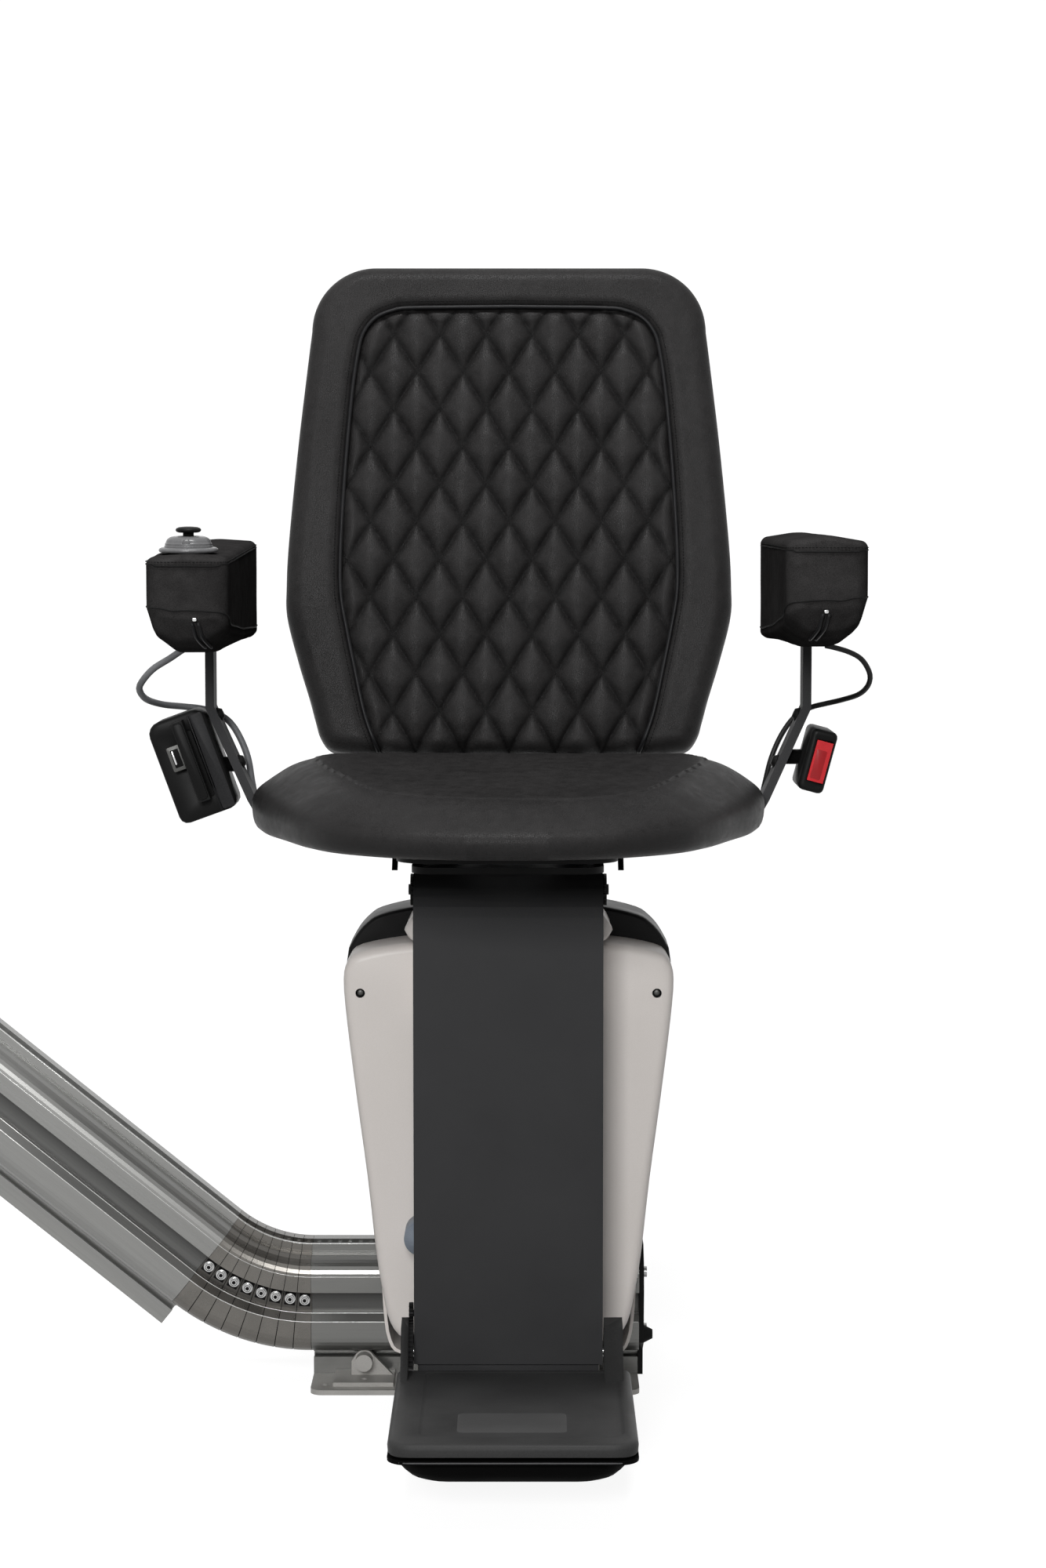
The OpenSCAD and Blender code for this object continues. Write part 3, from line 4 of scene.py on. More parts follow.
import bmesh
import bpy
import numpy as np
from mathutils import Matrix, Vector


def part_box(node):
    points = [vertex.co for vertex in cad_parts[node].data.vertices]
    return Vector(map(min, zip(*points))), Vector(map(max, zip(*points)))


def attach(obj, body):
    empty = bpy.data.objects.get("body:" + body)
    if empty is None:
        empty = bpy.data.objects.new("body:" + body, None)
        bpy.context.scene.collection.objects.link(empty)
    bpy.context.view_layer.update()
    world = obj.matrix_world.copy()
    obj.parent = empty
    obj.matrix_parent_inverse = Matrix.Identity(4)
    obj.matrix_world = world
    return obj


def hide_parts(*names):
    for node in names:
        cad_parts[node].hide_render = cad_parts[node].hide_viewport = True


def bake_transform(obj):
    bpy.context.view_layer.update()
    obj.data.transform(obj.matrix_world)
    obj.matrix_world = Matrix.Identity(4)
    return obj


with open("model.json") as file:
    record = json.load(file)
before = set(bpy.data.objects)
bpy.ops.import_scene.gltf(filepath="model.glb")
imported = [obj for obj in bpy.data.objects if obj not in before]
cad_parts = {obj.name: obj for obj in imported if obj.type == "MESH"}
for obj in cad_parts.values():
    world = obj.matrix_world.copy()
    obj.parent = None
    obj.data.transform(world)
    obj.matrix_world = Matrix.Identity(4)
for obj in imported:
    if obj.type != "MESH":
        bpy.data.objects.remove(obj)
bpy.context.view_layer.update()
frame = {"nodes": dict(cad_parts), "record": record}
nodes = frame["nodes"]
bodyOf = {node: body for body, names in frame["record"]["behaviour"]["bodies"].items() for node in names}
slotOf = {part["node"]: part["material_slot"] for part in frame["record"]["subparts"]}
chairX = sum(corner[0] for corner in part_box("column_plate")) / 2  # the chair's centre plane
mm = 0.001
print("frame loaded,", len(nodes), "nodes")


# Camera, lamps and paper sweep

camera = {"place": (0.0476, -3.25, 0.88), "tilt": 4.9, "lens": 75.6, "film": 36}

lamps = {
    "frontBox": {"place": (-0.55, -4.6, 2.0), "aim": (0, -0.2, 0.5), "size": (1.5, 1.0), "watts": 148},
    "topFront": {"place": (-0.1, -1.15, 3.1), "aim": (0, -0.15, 0.8), "size": (1.3, 0.5), "watts": 78},
    "leftBox": {"place": (-2.6, -0.6, 1.4), "aim": (0, -0.2, 0.5), "size": (0.5, 1.7), "watts": 4},
    "rightBox": {"place": (2.6, -0.6, 1.4), "aim": (0, -0.2, 0.5), "size": (0.5, 1.7), "watts": 3},
}

sweep = {
    "halfWidth": 9, "front": -9, "back": 3.5, "height": 7, "bend": 2.5,
    "grey": (0.22, 0.24), "show": 0.9, "world": 0.04,  # show and world: brightness as seen, and as it lights
}


def makeCamera():
    data = bpy.data.cameras.new("studioCamera")
    data.lens = camera["lens"]
    data.sensor_width = camera["film"]
    data.clip_end = 60
    made = bpy.data.objects.new("studioCamera", data)
    made.location = camera["place"]
    made.rotation_euler = (math.radians(90 - camera["tilt"]), 0, 0)
    bpy.context.scene.collection.objects.link(made)
    bpy.context.scene.camera = made


def makeLamps():
    for name, lamp in lamps.items():
        data = bpy.data.lights.new(name, "AREA")
        data.shape = "RECTANGLE"
        data.size, data.size_y = lamp["size"]
        data.energy = lamp["watts"]
        made = bpy.data.objects.new(name, data)
        made.location = lamp["place"]
        aim = Vector(lamp["aim"]) - Vector(lamp["place"])
        made.rotation_euler = aim.to_track_quat("-Z", "Y").to_euler()
        bpy.context.scene.collection.objects.link(made)


# Node and mesh helpers

def linear(tone):
    return tuple(c / 255 / 12.92 if c <= 10.3 else ((c / 255 + 0.055) / 1.055) ** 2.4 for c in tone) + (1,)


def addNode(tree, kind, values=None, **settings):
    made = tree.nodes.new(kind)
    for key, value in settings.items():
        setattr(made, key, value)
    for key, value in (values or {}).items():
        if isinstance(value, bpy.types.NodeSocket):
            tree.links.new(value, made.inputs[key])
        else:
            made.inputs[key].default_value = value
    return made


def meshPiece(name, points, faces, material, smooth=True, sharp=None):
    mesh = bpy.data.meshes.new(name)
    mesh.from_pydata([tuple(p) for p in np.asarray(points)], [], faces)
    return finishMesh(name, mesh, material, smooth, sharp)


def finishMesh(name, mesh, material, smooth=True, sharp=None):
    work = bmesh.new()
    work.from_mesh(mesh)
    bmesh.ops.remove_doubles(work, verts=work.verts, dist=1e-6)
    bmesh.ops.recalc_face_normals(work, faces=work.faces)
    work.to_mesh(mesh)
    work.free()
    made = bpy.data.objects.new(name, mesh)
    bpy.context.scene.collection.objects.link(made)
    mesh.materials.clear()
    mesh.materials.append(material)
    if smooth:
        mesh.shade_smooth()
    if sharp:
        mesh.set_sharp_from_angle(angle=math.radians(sharp))
    return made


def gridFaces(rows, columns, closed=False, start=0):
    wrap = columns if closed else columns - 1
    return [(start + i * columns + j, start + i * columns + (j + 1) % columns,
             start + (i + 1) * columns + (j + 1) % columns, start + (i + 1) * columns + j)
            for i in range(rows - 1) for j in range(wrap)]


def loft(name, rings, material):
    return lofts(name, [rings], material)


def lofts(name, ringSets, material, caps=True, sharp=None):  # skins each set of rings, all in one piece
    points, faces, start = [], [], 0
    for rings in ringSets:
        rings = np.asarray(rings)
        count, around = rings.shape[:2]
        end = start + count * around
        faces += gridFaces(count, around, closed=True, start=start)
        if caps:
            faces += [tuple(range(start, start + around)), tuple(range(end - around, end))]
        points.append(rings.reshape(-1, 3))
        start = end
    return meshPiece(name, np.vstack(points), faces, materials[material], sharp=sharp)


boxFaces = ((0, 3, 2, 1), (4, 5, 6, 7), (0, 1, 5, 4), (1, 2, 6, 5), (2, 3, 7, 6), (3, 0, 4, 7))


def boxCorners(low, high):
    around = ((low[0], low[1]), (high[0], low[1]), (high[0], high[1]), (low[0], high[1]))
    return np.array([(x, y, z) for z in (low[2], high[2]) for x, y in around])


def carve(made, boxes, material, sharp=40):  # cuts boxes out of a closed piece
    faces = [tuple(8 * i + k for k in face) for i in range(len(boxes)) for face in boxFaces]
    cutter = meshPiece("cutter", np.vstack(boxes), faces, material, smooth=False)
    modifier = made.modifiers.new("carve", "BOOLEAN")
    modifier.operation, modifier.solver, modifier.object = "DIFFERENCE", "MANIFOLD", cutter
    seen = made.evaluated_get(bpy.context.evaluated_depsgraph_get())
    mesh = bpy.data.meshes.new_from_object(seen)
    made.modifiers.clear()
    made.data = mesh
    bpy.data.objects.remove(cutter)
    mesh.materials.clear()
    mesh.materials.append(material)
    mesh.shade_smooth()
    mesh.set_sharp_from_angle(angle=math.radians(sharp))


def unit(v):
    return v / np.maximum(np.linalg.norm(v, axis=-1, keepdims=True), 1e-12)


def tubeRings(path, radius, sides):
    path = np.asarray(path, float)
    tangents = unit(np.gradient(path, axis=0))
    normal = unit(np.cross(tangents[0], (0.3, 0.2, 0.93)))
    across, up = circle(sides)
    rings = []
    for point, tangent in zip(path, tangents):
        normal = unit(normal - tangent * normal.dot(tangent))
        side = np.cross(tangent, normal)
        rings.append(point + radius * (np.outer(across, normal) + np.outer(up, side)))
    return rings


def spline(points, step):  # a smooth line through the points, in even steps
    points = np.asarray(points, float)
    padded = np.vstack([2 * points[0] - points[1], points, 2 * points[-1] - points[-2]])
    fine = []
    for i in range(1, len(padded) - 2):
        a, b, c, d = padded[i - 1:i + 3]
        t = np.linspace(0, 1, 24, endpoint=False)[:, None]
        square, cube = 2 * a - 5 * b + 4 * c - d, 3 * b - a - 3 * c + d
        fine.append(0.5 * (2 * b + t * (c - a) + t ** 2 * square + t ** 3 * cube))
    fine = np.vstack(fine + [padded[-2:-1]])
    return evenly(fine, step)


def evenly(path, step):
    path = np.asarray(path, float)
    run = np.concatenate([[0], np.cumsum(np.linalg.norm(np.diff(path, axis=0), axis=1))])
    count = max(2, int(round(run[-1] / step)) + 1)
    at = np.linspace(0, run[-1], count)
    return np.stack([np.interp(at, run, path[:, k]) for k in range(path.shape[1])], axis=1)


def distanceTo(line, points):
    line, points = np.asarray(line, float), np.asarray(points, float)
    best = np.full(len(points), 1e9)
    for a, b in zip(line[:-1], line[1:]):
        edge = b - a
        t = np.clip(((points - a) @ edge) / max(edge @ edge, 1e-12), 0, 1)
        best = np.minimum(best, np.linalg.norm(points - a - t[:, None] * edge, axis=1))
    return best


def arc(centre, radius, fromAngle, toAngle, count):
    angles = np.radians(np.linspace(fromAngle, toAngle, count))
    return np.stack([centre[0] + radius * np.cos(angles), centre[1] + radius * np.sin(angles)], axis=1)


def circle(count):
    angles = np.arange(count) * 2 * math.pi / count
    return np.cos(angles), np.sin(angles)


def atLevel(ring, z):
    return np.column_stack([ring, np.full(len(ring), z)])


def atChair(x, y, z):  # millimetres from the chair's centre plane to metres
    x, y, z = (value * mm for value in np.broadcast_arrays(x, y, z))
    return np.stack([chairX + x, y, z], axis=-1)


def waves(points, scale, seed):  # soft unevenness in three sizes, the same each run
    random = np.random.default_rng(seed)
    total = np.zeros(len(points))
    for k in range(15):
        level = k // 5
        direction = unit(random.normal(size=points.shape[1]))
        pitch, phase = random.uniform(0.7, 1.3), random.uniform(0, 6.28)
        total += np.sin(points @ direction * scale * 2 ** level * pitch + phase) * 0.5 ** level
    return total / 4.5


# Materials: tones are 0 to 255, clouds and grain are noise scales, depth is the bump in metres

finishes = {
    "rail": {"tones": ((102, 102, 100), (109, 109, 107)), "metal": 0.65, "rough": (0.25, 0.3),
             "clouds": 9, "grain": 500, "depth": 0.000006, "stretch": (0.02, 1, 1), "recess": "level"},
    "link": {"tones": ((92, 90, 86), (103, 100, 96)), "metal": 0.72, "rough": (0.24, 0.34),
             "clouds": 30, "grain": 1300, "depth": 0.00003, "recess": "round"},
    "steel": {"tones": ((150, 150, 150), (178, 178, 177)), "metal": 0.9, "rough": (0.2, 0.3),
              "clouds": 60, "grain": 900, "depth": 0.00002},
    "dark_steel": {"tones": ((13, 13, 13), (20, 20, 20)), "metal": 0, "shine": 0.08, "rough": (0.4, 0.55),
                   "clouds": 25, "grain": 1800, "depth": 0.00004},
    "foot_steel": {"tones": ((148, 146, 143), (164, 162, 158)), "metal": 0.3, "rough": (0.42, 0.56),
                   "clouds": 22, "grain": 1100, "depth": 0.00004},
    "column": {"tones": ((51, 51, 52), (58, 58, 59)), "metal": 0, "shine": 0.08, "rough": (0.5, 0.62),
               "clouds": 14, "grain": 1500, "depth": 0.00005},
    "rack": {"tones": ((60, 60, 59), (80, 80, 78)), "metal": 0.6, "rough": (0.35, 0.5),
             "clouds": 60, "grain": 900, "depth": 0.00004},
    "beige": {"tones": ((214, 208, 203), (219, 213, 209)), "metal": 0, "shine": 0.3, "rough": (0.38, 0.46),
              "clouds": 8, "grain": 1300, "depth": 0.00004},
    "black_plastic": {"tones": ((11, 11, 11), (18, 18, 18)), "metal": 0, "shine": 0.08, "rough": (0.36, 0.5),
                      "clouds": 30, "grain": 1600, "depth": 0.00006},
    "grey_plastic": {"tones": ((47, 47, 47), (54, 54, 54)), "metal": 0, "shine": 0.08, "rough": (0.42, 0.56),
                     "clouds": 20, "grain": 700, "depth": 0.00008},
    "cap": {"tones": ((112, 120, 132), (130, 138, 148)), "metal": 0, "shine": 0.3, "rough": (0.35, 0.45),
            "clouds": 40, "grain": 1200, "depth": 0.00003},
    "nylon": {"tones": ((178, 176, 166), (200, 198, 188)), "metal": 0, "rough": (0.4, 0.5),
              "clouds": 40, "grain": 1000, "depth": 0.00003},
    "board": {"tones": ((20, 62, 38), (30, 84, 50)), "metal": 0, "rough": (0.3, 0.45),
              "clouds": 200, "grain": 900, "depth": 0.00005},
    "rubber": {"tones": ((15, 15, 15), (22, 22, 22)), "metal": 0, "shine": 0.08, "rough": (0.6, 0.75),
               "clouds": 50, "grain": 1400, "depth": 0.00008},
    "red": {"tones": ((192, 24, 32), (208, 32, 42)), "metal": 0, "shine": 0.3, "rough": (0.28, 0.38),
            "clouds": 60, "grain": 1200, "depth": 0.00003},
    "grey_cable": {"tones": ((84, 85, 87), (104, 105, 107)), "metal": 0, "shine": 0.3, "rough": (0.42, 0.55),
                   "clouds": 60, "grain": 1500, "depth": 0.00004},
    "black_cable": {"tones": ((12, 12, 12), (18, 18, 18)), "metal": 0, "shine": 0.2, "rough": (0.4, 0.55),
                    "clouds": 60, "grain": 1500, "depth": 0.00004},
}

railBend = {"x": -163, "z": 258, "turn": 39, "links": 8}  # the curve's axis in mm, its turn in degrees

finishVariants = {  # each takes a finish from above and changes what it names
    # a lighter copy of the rail's finish: the lighter tone is painted light, for the incline catching more of the
    # lamps
    "litRailIncline": ("rail", {"tones": ((122, 122, 120), (130, 130, 128)), "turn": railBend["turn"],
                             "recess": "incline"}),
    "thread": ("rubber", {"tones": ((9, 9, 9), (16, 16, 16))}),
    "webbing": ("rubber", {"tones": ((10, 10, 10), (18, 18, 18)), "grain": 900, "depth": 0.0003}),
    "piping": ("black_plastic", {"tones": ((20, 20, 21), (28, 28, 29)), "rough": (0.3, 0.4)}),
    "dull": ("black_plastic", {"tones": ((6, 6, 6), (10, 10, 10)), "rough": (0.7, 0.8), "shine": 0.02}),
    "chrome": ("steel", {"tones": ((176, 176, 176), (200, 200, 200)), "rough": (0.12, 0.2)}),
    # bright steel for the thin tubes along the rail's edges: painted highlights
    "edgeHighlightPaint": ("steel", {"tones": ((196, 196, 194), (214, 214, 212)), "metal": 0.3}),
    "dome": ("grey_plastic", {"tones": ((80, 80, 81), (92, 92, 93)), "rough": (0.22, 0.32), "shine": 0.3}),
    "label": ("grey_plastic", {"tones": ((60, 60, 60), (66, 66, 66)), "rough": (0.5, 0.6)}),
    "rim": ("grey_plastic", {"tones": ((66, 66, 67), (76, 76, 77))}),
    "stripGrey": ("grey_plastic", {"tones": ((38, 38, 39), (47, 47, 48))}),
    "twoTone": ("beige", {"above": (0.426, (13, 13, 13))}),  # the rear cover is dark above this height
    # darker red: painted shade for the push button's lower facet
    "shadedRed": ("red", {"tones": ((150, 12, 20), (166, 16, 26))}),
}


def newMaterial(name):
    made = bpy.data.materials.new(name)
    made.use_nodes = True
    return made, made.node_tree, made.node_tree.nodes["Principled BSDF"]


def objectPlace(tree):
    return addNode(tree, "ShaderNodeTexCoord").outputs["Object"]


def along(tree, place, axis):
    return addNode(tree, "ShaderNodeSeparateXYZ", {0: place}).outputs[axis]


def noise(tree, place, scale, detail):
    return addNode(tree, "ShaderNodeTexNoise", {"Vector": place, "Scale": scale, "Detail": detail}).outputs


def compute(tree, operation, *values):
    return addNode(tree, "ShaderNodeMath", dict(enumerate(values)), operation=operation).outputs[0]


def rescale(tree, value, low=0, high=1, newLow=0, newHigh=1):
    limits = {"Value": value, "From Min": low, "From Max": high, "To Min": newLow, "To Max": newHigh}
    return addNode(tree, "ShaderNodeMapRange", limits).outputs[0]


def dim(tree, colour, share):
    return addNode(tree, "ShaderNodeVectorMath", {0: colour, "Scale": share}, operation="SCALE").outputs[0]


def mixTones(tree, share, first, second):
    return addNode(tree, "ShaderNodeMix", {0: share, 6: first, 7: second}, data_type="RGBA").outputs[2]


recess = {  # painted shade in the rail's recess; metres, measured up the rail's section
    "middle": 0.0856, "half": (0.0104, 0.0122), "deep": (-0.034, -0.018), "fall": (0.075, 0.097), "dark": (0.45, 0.9),
}


def recessShade(tree, shape):  # painted shade: darkens only the recess between the rail's two lobes, most at its top, under the upper lobe
    place = objectPlace(tree)
    axis = (railBend["x"] * mm, 0, railBend["z"] * mm)
    away = addNode(tree, "ShaderNodeVectorMath", {0: place, 1: axis}, operation="SUBTRACT").outputs[0]
    if shape == "round":
        flat = addNode(tree, "ShaderNodeVectorMath", {0: away, 1: (1, 0, 1)}, operation="MULTIPLY").outputs[0]
        far = addNode(tree, "ShaderNodeVectorMath", {0: flat}, operation="LENGTH").outputs["Value"]
        level = compute(tree, "SUBTRACT", axis[2], far)
    else:
        if shape == "incline":
            turn = (0, math.radians(-railBend["turn"]), 0)
            away = addNode(tree, "ShaderNodeMapping", {"Vector": away, "Rotation": turn}).outputs[0]
        level = compute(tree, "ADD", along(tree, away, "Z"), axis[2])
    off = compute(tree, "ABSOLUTE", compute(tree, "SUBTRACT", level, recess["middle"]))
    inside = rescale(tree, off, *recess["half"], 1, 0)
    deep = rescale(tree, along(tree, place, "Y"), *recess["deep"])
    dark = rescale(tree, level, *recess["fall"], *recess["dark"])
    share = compute(tree, "MULTIPLY", compute(tree, "MULTIPLY", inside, deep), dark)
    return compute(tree, "SUBTRACT", 1.0, share)


def finish(name, look):
    made, tree, shader = newMaterial(name)
    place = objectPlace(tree)
    if "stretch" in look:  # a drawn grain along the length
        turn = (0, math.radians(-look.get("turn", 0)), 0)
        turned = addNode(tree, "ShaderNodeMapping", {"Vector": place, "Rotation": turn}).outputs[0]
        place = addNode(tree, "ShaderNodeMapping", {"Vector": turned, "Scale": look["stretch"]}).outputs[0]
    clouds = noise(tree, place, look["clouds"], 4)[0]
    grain = noise(tree, place, look["grain"], 2)[0]
    share = rescale(tree, compute(tree, "ADD", clouds, grain), 0.7, 1.3)
    tint = mixTones(tree, share, *map(linear, look["tones"]))
    # painted shade in the rail's recess, darkest at its top under the upper lobe
    if "recess" in look:
        tint = dim(tree, tint, recessShade(tree, look["recess"]))
    if "above" in look:
        height, upper = look["above"]
        over = compute(tree, "GREATER_THAN", along(tree, objectPlace(tree), "Z"), height)
        tint = mixTones(tree, over, tint, linear(upper))
    bump = addNode(tree, "ShaderNodeBump", {"Strength": 0.6, "Distance": look["depth"], "Height": grain})
    tree.links.new(tint, shader.inputs["Base Color"])
    tree.links.new(rescale(tree, clouds, 0.3, 0.7, *look["rough"]), shader.inputs["Roughness"])
    tree.links.new(bump.outputs[0], shader.inputs["Normal"])
    shader.inputs["Metallic"].default_value = look["metal"]
    shader.inputs["Specular IOR Level"].default_value = look.get("shine", 0.5)
    return made


leatherLook = {
    "tones": ((25, 24, 24), (34, 33, 33)), "rough": (0.4, 0.52), "shine": 0.11, "clouds": 11,
    "cells": 620, "cellDepth": 0.0002, "cellDark": 0.62, "creases": 90, "creaseDepth": 0.0004,
}


def leather(name, look):  # pebbled cells over soft creases, with painted shade, darker and less shiny, where the valley attribute is high
    made, tree, shader = newMaterial(name)
    place = objectPlace(tree)
    moved = dim(tree, noise(tree, place, 260, 2)["Color"], 0.0012)
    warped = addNode(tree, "ShaderNodeVectorMath", {0: place, 1: moved}, operation="ADD").outputs[0]
    cells = addNode(tree, "ShaderNodeTexVoronoi", {"Vector": warped, "Scale": look["cells"]},
                    feature="DISTANCE_TO_EDGE")
    raised = rescale(tree, cells.outputs["Distance"], 0, 0.12)
    creases = noise(tree, place, look["creases"], 5)[0]
    clouds = noise(tree, place, look["clouds"], 3)[0]
    share = rescale(tree, compute(tree, "ADD", clouds, creases), 0.75, 1.25)
    tint = dim(tree, mixTones(tree, share, *map(linear, look["tones"])),
               rescale(tree, raised, 0, 1, look["cellDark"], 1))
    # painted shade: the base colour and the shine drop where the attribute is high
    paintedValleyShade = addNode(tree, "ShaderNodeAttribute", attribute_name="paintedValleyShade").outputs["Fac"]
    unshadedShare = compute(tree, "SUBTRACT", 1.0, paintedValleyShade)
    soft = addNode(tree, "ShaderNodeBump", {"Strength": 0.5, "Distance": look["creaseDepth"], "Height": creases})
    bump = addNode(tree, "ShaderNodeBump", {"Strength": 0.7, "Distance": look["cellDepth"], "Height": raised,
                                            "Normal": soft.outputs[0]})
    tree.links.new(dim(tree, tint, unshadedShare), shader.inputs["Base Color"])
    tree.links.new(compute(tree, "MULTIPLY", unshadedShare, look["shine"]), shader.inputs["Specular IOR Level"])
    tree.links.new(rescale(tree, creases, 0.3, 0.7, *look["rough"]), shader.inputs["Roughness"])
    tree.links.new(bump.outputs[0], shader.inputs["Normal"])
    return made


materials = {name: finish(name, look) for name, look in finishes.items()}
for name, (base, change) in finishVariants.items():
    materials[name] = finish(name, {**finishes[base], **change})
materials["leather"] = leather("leather", leatherLook)
# a lighter copy of the leather with no shine: the lighter tone is painted light on the armrests
materials["litArmLeather"] = leather("litArmLeather", {**leatherLook, "tones": ((42, 41, 41), (52, 51, 51)), "shine": 0})
print("materials made")


# CAD pieces: each has its own finish, and some have a merged copy with smooth shading

def dressNodes():
    for name, node in nodes.items():
        node.data.materials.clear()
        node.data.materials.append(materials["litRailIncline" if name == "rail_incline" else slotOf[name]])


mergedNodes = {  # edges sharper than these degrees stay sharp
    "front_cover": 35, "rear_cover": 35, "top_cover": 40, "hub_cover": 35, "back_shell": 40, "belt_reel_case": 40,
    "buckle_body": 40, "footrest_tread": 35, "footrest_tray": 35, "column_plate": 30, "arm_bar_left": 30,
    "arm_bar_right": 30, "service_cap": 35, "seat_cheeks": 35, "arm_bar_bolts": 35,
}

hubTuck = {"below": 0.478, "over": 0.012, "share": 0.17}  # the hub cover's cheeks go in behind the column


def mergeNodes():
    for name, angle in mergedNodes.items():
        material = {"rear_cover": "twoTone", "footrest_tray": "dull"}.get(name, slotOf[name])
        copy = finishMesh(name + "Smooth", nodes[name].data.copy(), materials[material], sharp=angle)
        if name == "hub_cover":
            for corner in copy.data.vertices:
                share = min(max((hubTuck["below"] - corner.co.z) / hubTuck["over"], 0), 1)
                corner.co.x = chairX + (corner.co.x - chairX) * (1 - hubTuck["share"] * share)
        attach(copy, bodyOf[name])
        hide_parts(name)


# Stitches: short capsules along a seam

def stitchTree():
    tree = bpy.data.node_groups.new("stitchRow", "GeometryNodeTree")
    tree.interface.new_socket("Geometry", in_out="INPUT", socket_type="NodeSocketGeometry")
    for label, value in (("Pitch", 0.003), ("Length", 0.0022), ("Thickness", 0.0008)):
        socket = tree.interface.new_socket(label, in_out="INPUT", socket_type="NodeSocketFloat")
        socket.default_value = value
    tree.interface.new_socket("Material", in_out="INPUT", socket_type="NodeSocketMaterial")
    tree.interface.new_socket("Geometry", in_out="OUTPUT", socket_type="NodeSocketGeometry")
    given = addNode(tree, "NodeGroupInput").outputs
    spaced = addNode(tree, "GeometryNodeResampleCurve", {"Curve": given["Geometry"], "Length": given["Pitch"]},
                     mode="LENGTH")
    bead = addNode(tree, "GeometryNodeMeshUVSphere", {"Segments": 6, "Rings": 5, "Radius": 0.5})
    tangent = addNode(tree, "GeometryNodeInputTangent")
    turn = addNode(tree, "FunctionNodeAlignRotationToVector", {"Vector": tangent.outputs[0]}, axis="Z")
    size = addNode(tree, "ShaderNodeCombineXYZ", {"X": given["Thickness"], "Y": given["Thickness"],
                                                  "Z": given["Length"]})
    beads = addNode(tree, "GeometryNodeInstanceOnPoints", {"Points": spaced.outputs[0], "Instance": bead.outputs[0],
                                                           "Rotation": turn.outputs[0], "Scale": size.outputs[0]})
    solid = addNode(tree, "GeometryNodeRealizeInstances", {"Geometry": beads.outputs[0]})
    dyed = addNode(tree, "GeometryNodeSetMaterial", {"Geometry": solid.outputs[0], "Material": given["Material"]})
    result = addNode(tree, "NodeGroupOutput")
    tree.links.new(dyed.outputs[0], result.inputs[0])
    return tree


stitchGroup = stitchTree()


def stitches(name, lines, body, pitch=0.003, length=0.0022, thickness=0.0008, material="thread"):
    curve = bpy.data.curves.new(name + "Line", "CURVE")
    curve.dimensions = "3D"
    for line in lines:
        strand = curve.splines.new("POLY")
        strand.points.add(len(line) - 1)
        for point, place in zip(strand.points, line):
            point.co = (*place, 1)
    holder = bpy.data.objects.new(name + "Line", curve)
    bpy.context.scene.collection.objects.link(holder)
    modifier = holder.modifiers.new("stitches", "NODES")
    modifier.node_group = stitchGroup
    for socket in stitchGroup.interface.items_tree:
        if socket.in_out == "INPUT" and socket.name in ("Pitch", "Length", "Thickness", "Material"):
            modifier[socket.identifier] = {"Pitch": pitch, "Length": length, "Thickness": thickness,
                                           "Material": materials[material]}[socket.name]
    seen = holder.evaluated_get(bpy.context.evaluated_depsgraph_get())
    mesh = bpy.data.meshes.new_from_object(seen)
    made = bpy.data.objects.new(name, mesh)
    bpy.context.scene.collection.objects.link(made)
    bpy.data.objects.remove(holder)
    mesh.shade_smooth()
    if not mesh.materials:
        mesh.materials.append(materials[material])
    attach(made, body)
    return made


# Backrest: padded roll round a quilted panel, with piping between them; all in mm

back = {
    "lean": 11.1, "foot": (-120, 650), "thick": 46, "round": 18, "rearRound": 8,
    "side": [(150, -8), (170, -4), (180, 8), (185, 24), (191, 46), (202, 82), (213, 125), (214, 155), (212, 200),
             (204, 290), (195, 372), (191, 406)],
    "corner": (129, 406, 62),
    "piping": [(124, -7), (129, 4), (138.6, 32), (148.6, 78), (155.6, 112), (161, 143), (162, 175), (160.5, 220),
               (157.5, 270), (154.4, 310), (150.6, 350), (146.3, 380), (141.4, 400), (130.5, 415), (114, 423),
               (91, 426), (0, 427)],
    "pipingRadius": 2.0, "pipingSunk": 1.9,
    "quilt": (44.5, 73.7), "quiltFrom": 363, "quiltDeep": 8.5,  # a diamond's width and height, and a sewn crossing
    "pillow": 0.55, "uneven": 0.16, "panelSunk": 1.5, "panelEdge": 2.2, "fadeOver": 16,
    "grooveDeep": 6, "grooveWide": 13,
    "walls": ((24, -0.6), (31, -0.6)),  # depth and inset of the bulging sides
}


def atBack(x, y, v):
    lean = math.radians(back["lean"])
    return atChair(x, back["foot"][0] + math.cos(lean) * np.asarray(y) + math.sin(lean) * np.asarray(v),
                   back["foot"][1] - math.sin(lean) * np.asarray(y) + math.cos(lean) * np.asarray(v))


def mirroredLine(half):
    half = np.asarray(half, float)
    return np.vstack([half * (-1, 1), half[::-1]])


backSide = np.vstack([spline(back["side"], 2.2)[:-1], arc(back["corner"][:2], back["corner"][2], 0, 90, 44)])
backSide[:, 1] = np.maximum.accumulate(backSide[:, 1]) + np.arange(len(backSide)) * 1e-4
backLine = mirroredLine(backSide)
backLoop = np.vstack([backLine, backLine[:1]])
pipingHalf = spline(back["piping"], 2.5)
pipingLine = mirroredLine(pipingHalf[:-1])


def pipingDistance(points):
    away = distanceTo(pipingLine, points)
    width = np.interp(points[:, 1], pipingHalf[:-20, 1], pipingHalf[:-20, 0])
    inside = (np.abs(points[:, 0]) < width) & (points[:, 1] < back["piping"][-1][1])
    return np.where(inside, away, -away)


def quiltWaves(x, v):  # 0 on a sewn line, 1 midway, for the two ways the lines run
    wide, tall = back["quilt"]
    rise = (v - back["quiltFrom"]) / tall
    return np.abs(np.sin(math.pi * (x / wide + rise))), np.abs(np.sin(math.pi * (x / wide - rise)))


